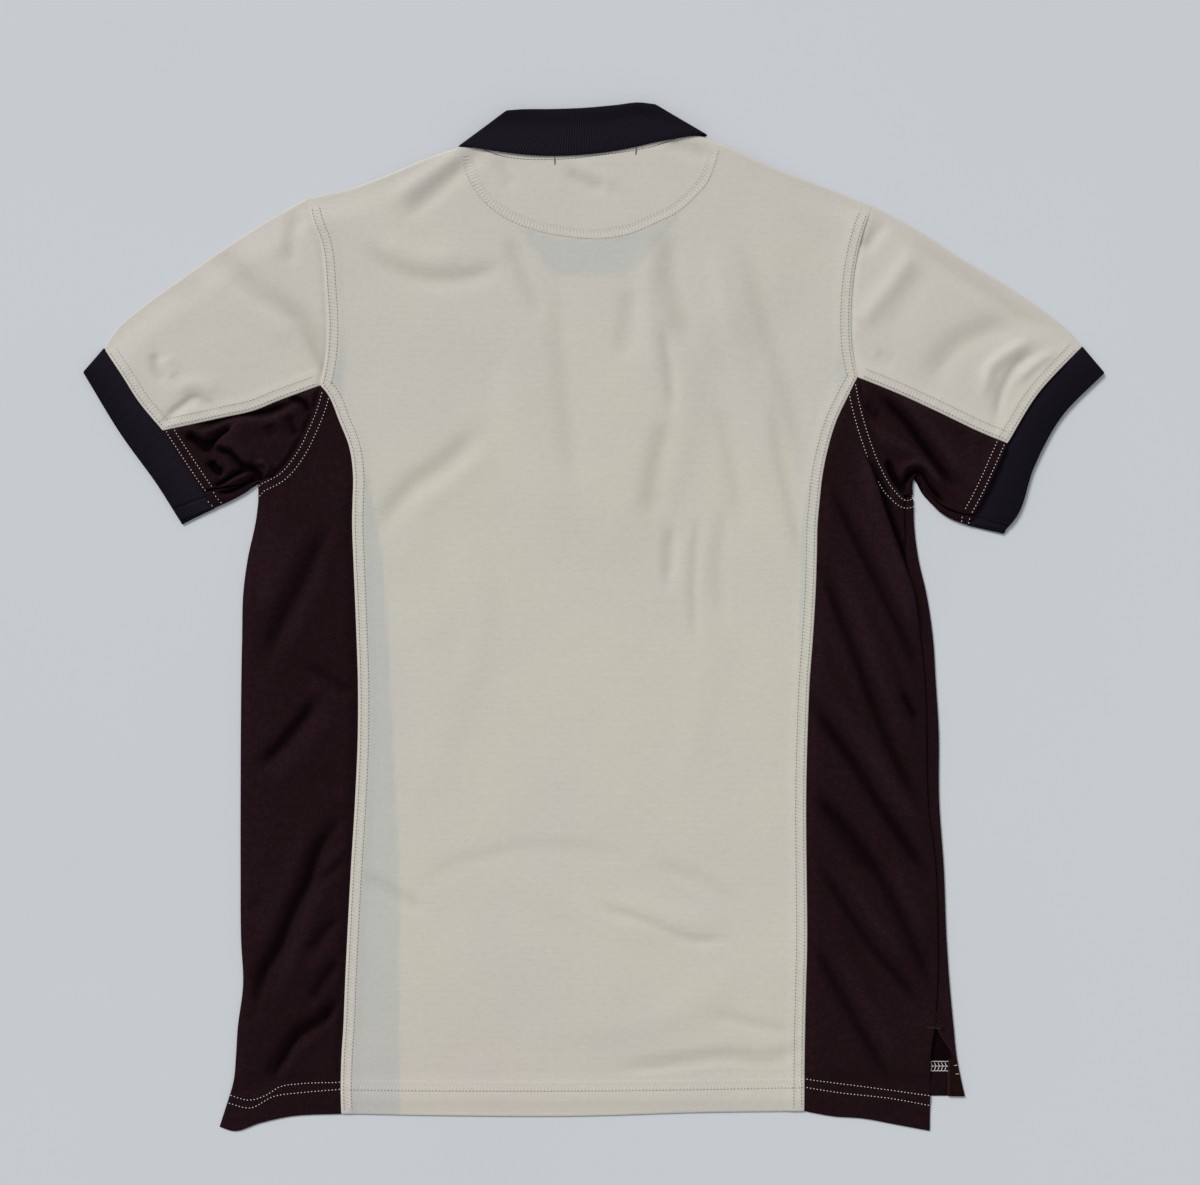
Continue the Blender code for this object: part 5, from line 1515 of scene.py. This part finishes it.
# Ends of the two armhole rows at the left edge, and how far the cuffs' rows stop short of the lower edge
cornerEnds = ((-268.3, 104.6), (-267.9, 96.3))
shortOfEdge = {"left": 14, "right": 9}
for side in ("left", "right"):
    centre = (0, 100)
    seamRun = joined(sides[side]["armhole"], sides[side]["seam"])
    lowTop = partial(sideTop, side=side)
    upTop = partial(sleeveTop, side=side)
    underHeight = partial(underTop, side=side)
    for n, distance in enumerate(seamShape["rows"]):
        bodyRows.append((trimmed(offsetRun(seamRun, distance, (0, 0)), 8, 3), bodyTop))
        low = trimmed(offsetRun(sides[side]["low"], distance + 0.6, (0, 0)), (5, 8)[n], 2)
        if side == "left":
            low = np.concatenate([low, [cornerEnds[n]]])
            armholeRows.append((low, lowTop))
        elif n == 0:
            armholeRows.append((low, lowTop))
        else:
            armholeRows += [(low[low[:, 1] > 127], lowTop), (low[low[:, 1] < 110], lowTop)]
        sleeveRow = offsetRun(sleeveSeam[side], distance, sleeveRuns[side]["top"][40])
        sleeveRows.append((trimmed(sleeveRow, 3, 3), upTop))
        cuffRows.append((trimmed(offsetRun(sleeveRuns[side]["cuff"], distance + 0.4, centre), 5, 1), upTop))
        underCuff = offsetRun(sleeveRuns[side]["cuffLow"], distance + 0.4, centre)
        underCuffRows.append((trimmed(underCuff, 2, shortOfEdge[side]), underHeight))
    sleeveMiddles.append((trimmed(offsetRun(sleeveSeam[side], 5.1, sleeveRuns[side]["top"][40]), 6, 10), upTop))
    sleeveMiddles.append((trimmed(offsetRun(sleeveRuns[side]["cuff"], 5.5, centre), 8, 6), upTop))
stripRows = {
    "left": [[(-309, 94), (-304, 88)], [(-304, 101), (-300.6, 95), (-297, 91)]],
    "right": [[(294.4, 81.6), (294.2, 75.6)], [(300.4, 80.2), (299.6, 74.2)]],
}
for side in stripRows:
    raised = lambda points, side=side: underTop(points, side) + 0.5
    underCuffRows += [(dense(run), raised) for run in stripRows[side]]
hemStitches = [(trimmed(dense(hemRows["back"][1], 4.0), 2, 2), bodyTop)]
brownHem = [(trimmed(dense(run, 4.0), 0.4, 0.4), partial(sideTop, side=side))
            for side in ("left", "right") for run in hemRows[side]]
makeStitches("bodySeamStitches", bodyRows, paleThread, holeShade)
makeStitches("sleeveStitches", sleeveRows[::2] + cuffRows[::2], paleThread, holeShade)
makeStitches("sleeveInnerStitches", sleeveRows[1::2] + cuffRows[1::2], paleThread, faintShade)
makeStitches("hemStitches", hemStitches, paleThread, holeShade)
makeStitches("moonStitches", [(trimmed(moonRows[0], 9, 3), bodyTop)], paleThread, faintShade)
makeStitches("moonInnerStitches", [(trimmed(moonRows[1], 9, 3), bodyTop)], paleThread)
moonMiddle = trimmed(offsetRun(moonRows[0], 3.8, (0, 420)), 4, 4)
hemMiddle = dense([(-196, -374.6), (0, -375.2), (167, -372.6)])
bandMiddle = [(trimmed(offsetRun(sides[side]["back"], 5.1, (0, 0)), 10, 4), bodyTop) for side in sides]
makeTicks("moonTicks", [(moonMiddle, bodyTop)], 5.6, 0.6)
makeTicks("hemTicks", [(hemMiddle, bodyTop)], 5.4)
makeTicks("bandTicks", bandMiddle + sleeveMiddles, 4.2)
threadMesh("neckStitches", *stitchEnds([(dense(neckLine), bodyTop)], 2.3, 0, 0.1), 0.75, seamThread)
tacks = [((-31.2, 367.2), (-31.0, 361.4)), ((34.2, 374.8), (33.4, 369.4))]
makeBars("neckTacks", *np.swapaxes(tacks, 0, 1), bodyTop, 0.1, 1.3, tackThread)
makeStitches("armholeStitches", armholeRows, whiteThread)
makeStitches("brownHemStitches", brownHem, whiteThread)
makeStitches("brownCuffStitches", underCuffRows, whiteThread)


def makeVentStitches():
    # Ladder of the front's hem seen from inside, a stitched triangle over the vent and the bar below it
    columns = np.arange(269.8, 283.6, 2.8)
    levels = (-355.6, -359.4, -363.2)
    starts, ends = [], []
    for level in levels:
        starts += [(x, level) for x in columns]
        ends += [(x + 2.9, level) for x in columns]
    for high, low in zip(levels[:-1], levels[1:]):
        starts += [(x + (0.0 if high == levels[0] else 1.5), high) for x in columns]
        ends += [(x + (1.5 if high == levels[0] else 0.0), low) for x in columns]
    starts, ends = np.array(starts), np.array(ends)
    makeBars("ladderStitches", starts, ends, frontHeight, 0.2, 0.52, whiteThread)
    top = partial(sideTop, side="right")
    corners = [(273.6, -314.4), (260.6, -325.6), (279.4, -327)]
    rows = []
    for shrink in (0.0, 0.22, 0.44, 0.66):
        middle = np.mean(corners, axis=0)
        loop = [mix(np.array(corner), middle, shrink) for corner in corners]
        rows += [(np.array([loop[n], loop[(n + 1) % 3]]), top) for n in range(3)]
    threadMesh("ventTriangle", *stitchEnds(rows, 1.9), 0.95, rustThread)
    along = np.linspace(266.4, 277.0, 14)
    bar = np.column_stack([along, -327.6 - 0.1 * (along - 272)])
    makeBars("ventBar", bar - (0.3, 0.8), bar + (0.3, 0.8), top, 0.15, 0.5, blushThread)
    lip = np.column_stack([vent["lipX"], -np.array(vent["lipY"])])[1:8] + (0.9, 0.3)
    threadMesh("lipStitches", *stitchEnds([(dense(lip), ventLevel)], 1.7, 0, 0.25), 0.5, blushThread)
    ends = np.array([(288.2, -358.6), (289.6, -365.4)])
    makeBars("hemEnds", ends, ends + (2.6, 0.2), ventLevel, 0.15, 0.42, whiteThread)
    edge = np.column_stack([np.full(24, 283.9), np.linspace(-354.4, -382, 24)])
    makeBars("overlock", edge - (0.9, 0.5), edge + (1.1, 0.2), ventLevel, 0.1, 0.5, blushThread)


makeVentStitches()
print("stitches made")


def mottledMaterial(name, scale, low, high, roughness):
    # Two tones mixed by a noise of this scale
    material, tree, shader = newMaterial(name)
    node, _ = nodeMaker(tree)
    noise = node("ShaderNodeTexNoise", Vector=node("ShaderNodeTexCoord").outputs["Object"], Scale=scale)
    tint = node("ShaderNodeMix", {"data_type": "RGBA"}, Factor=noise.outputs[0], A=(*low, 1), B=(*high, 1))
    tree.links.new(tint.outputs[2], shader.inputs["Base Color"])
    shader.inputs["Roughness"].default_value = roughness
    return material, shader


# The buttons stay the frame's own, in cloudy resin
resin, _ = mottledMaterial("resinButton", 260.0, (0.30, 0.28, 0.23), (0.42, 0.40, 0.34), 0.3)
for name in ("button_top", "button_middle", "button_low"):
    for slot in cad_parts[name].material_slots:
        slot.material = resin

floorPaint, floorShader = mottledMaterial("floorPaint", 3.0, (0.512, 0.534, 0.566), (0.540, 0.562, 0.594), 0.7)
floorShader.inputs["Specular IOR Level"].default_value = 0.2
corners = 9000.0 * np.array([[-1, -1, 0], [1, -1, 0], [1, 1, 0], [-1, 1, 0]])
floor = addMesh("floor", corners, np.array([[0, 1, 2, 3]]), floorPaint)

world = bpy.data.worlds.new("studio")
bpy.context.scene.world = world
world.use_nodes = True
worldNode, worldMaths = nodeMaker(world.node_tree)
sky = {"colour": (0.93, 0.97, 1.0), "strength": 0.5, "seen": (0.545, 0.575, 0.605)}
background = world.node_tree.nodes["Background"]
rays = worldNode("ShaderNodeLightPath")
lit = worldNode("ShaderNodeVectorMath", {"operation": "SCALE"}, _0=sky["colour"], Scale=sky["strength"])
direct = worldMaths("MAXIMUM", rays.outputs["Is Camera Ray"], rays.outputs["Is Glossy Ray"])
direct = worldMaths("MAXIMUM", direct, rays.outputs["Is Transmission Ray"])
shown = worldNode("ShaderNodeMix", {"data_type": "VECTOR"}, Factor=direct, A=lit.outputs[0], B=sky["seen"])
world.node_tree.links.new(shown.outputs[1], background.inputs["Color"])

# Key light from the upper left, as even over the floor as daylight from a wide window far away
light = {"towards": (5.1, -6.5, -6.6), "strength": 3.0, "angle": 22.0, "colour": (1.0, 0.985, 0.965)}
lamp = bpy.data.lights.new("key", "SUN")
lamp.energy = light["strength"]
lamp.angle = np.radians(light["angle"])
lamp.color = light["colour"]
stand = bpy.data.objects.new("key", lamp)
bpy.context.scene.collection.objects.link(stand)
stand.rotation_euler = Vector(light["towards"]).to_track_quat("-Z", "Y").to_euler()

view = {"centre": (0.005, 0.020), "height": 1.35, "width": 0.960, "sensor": 36.0}
camera = bpy.data.cameras.new("overhead")
camera.sensor_width = view["sensor"]
camera.lens = view["sensor"] * (view["height"] - 0.003) / view["width"]
cameraObject = bpy.data.objects.new("overhead", camera)
bpy.context.scene.collection.objects.link(cameraObject)
cameraObject.location = (*view["centre"], view["height"])
bpy.context.scene.camera = cameraObject
bpy.context.scene.view_settings.view_transform = "Standard"
print("sheets, buttons, floor, light and camera made")
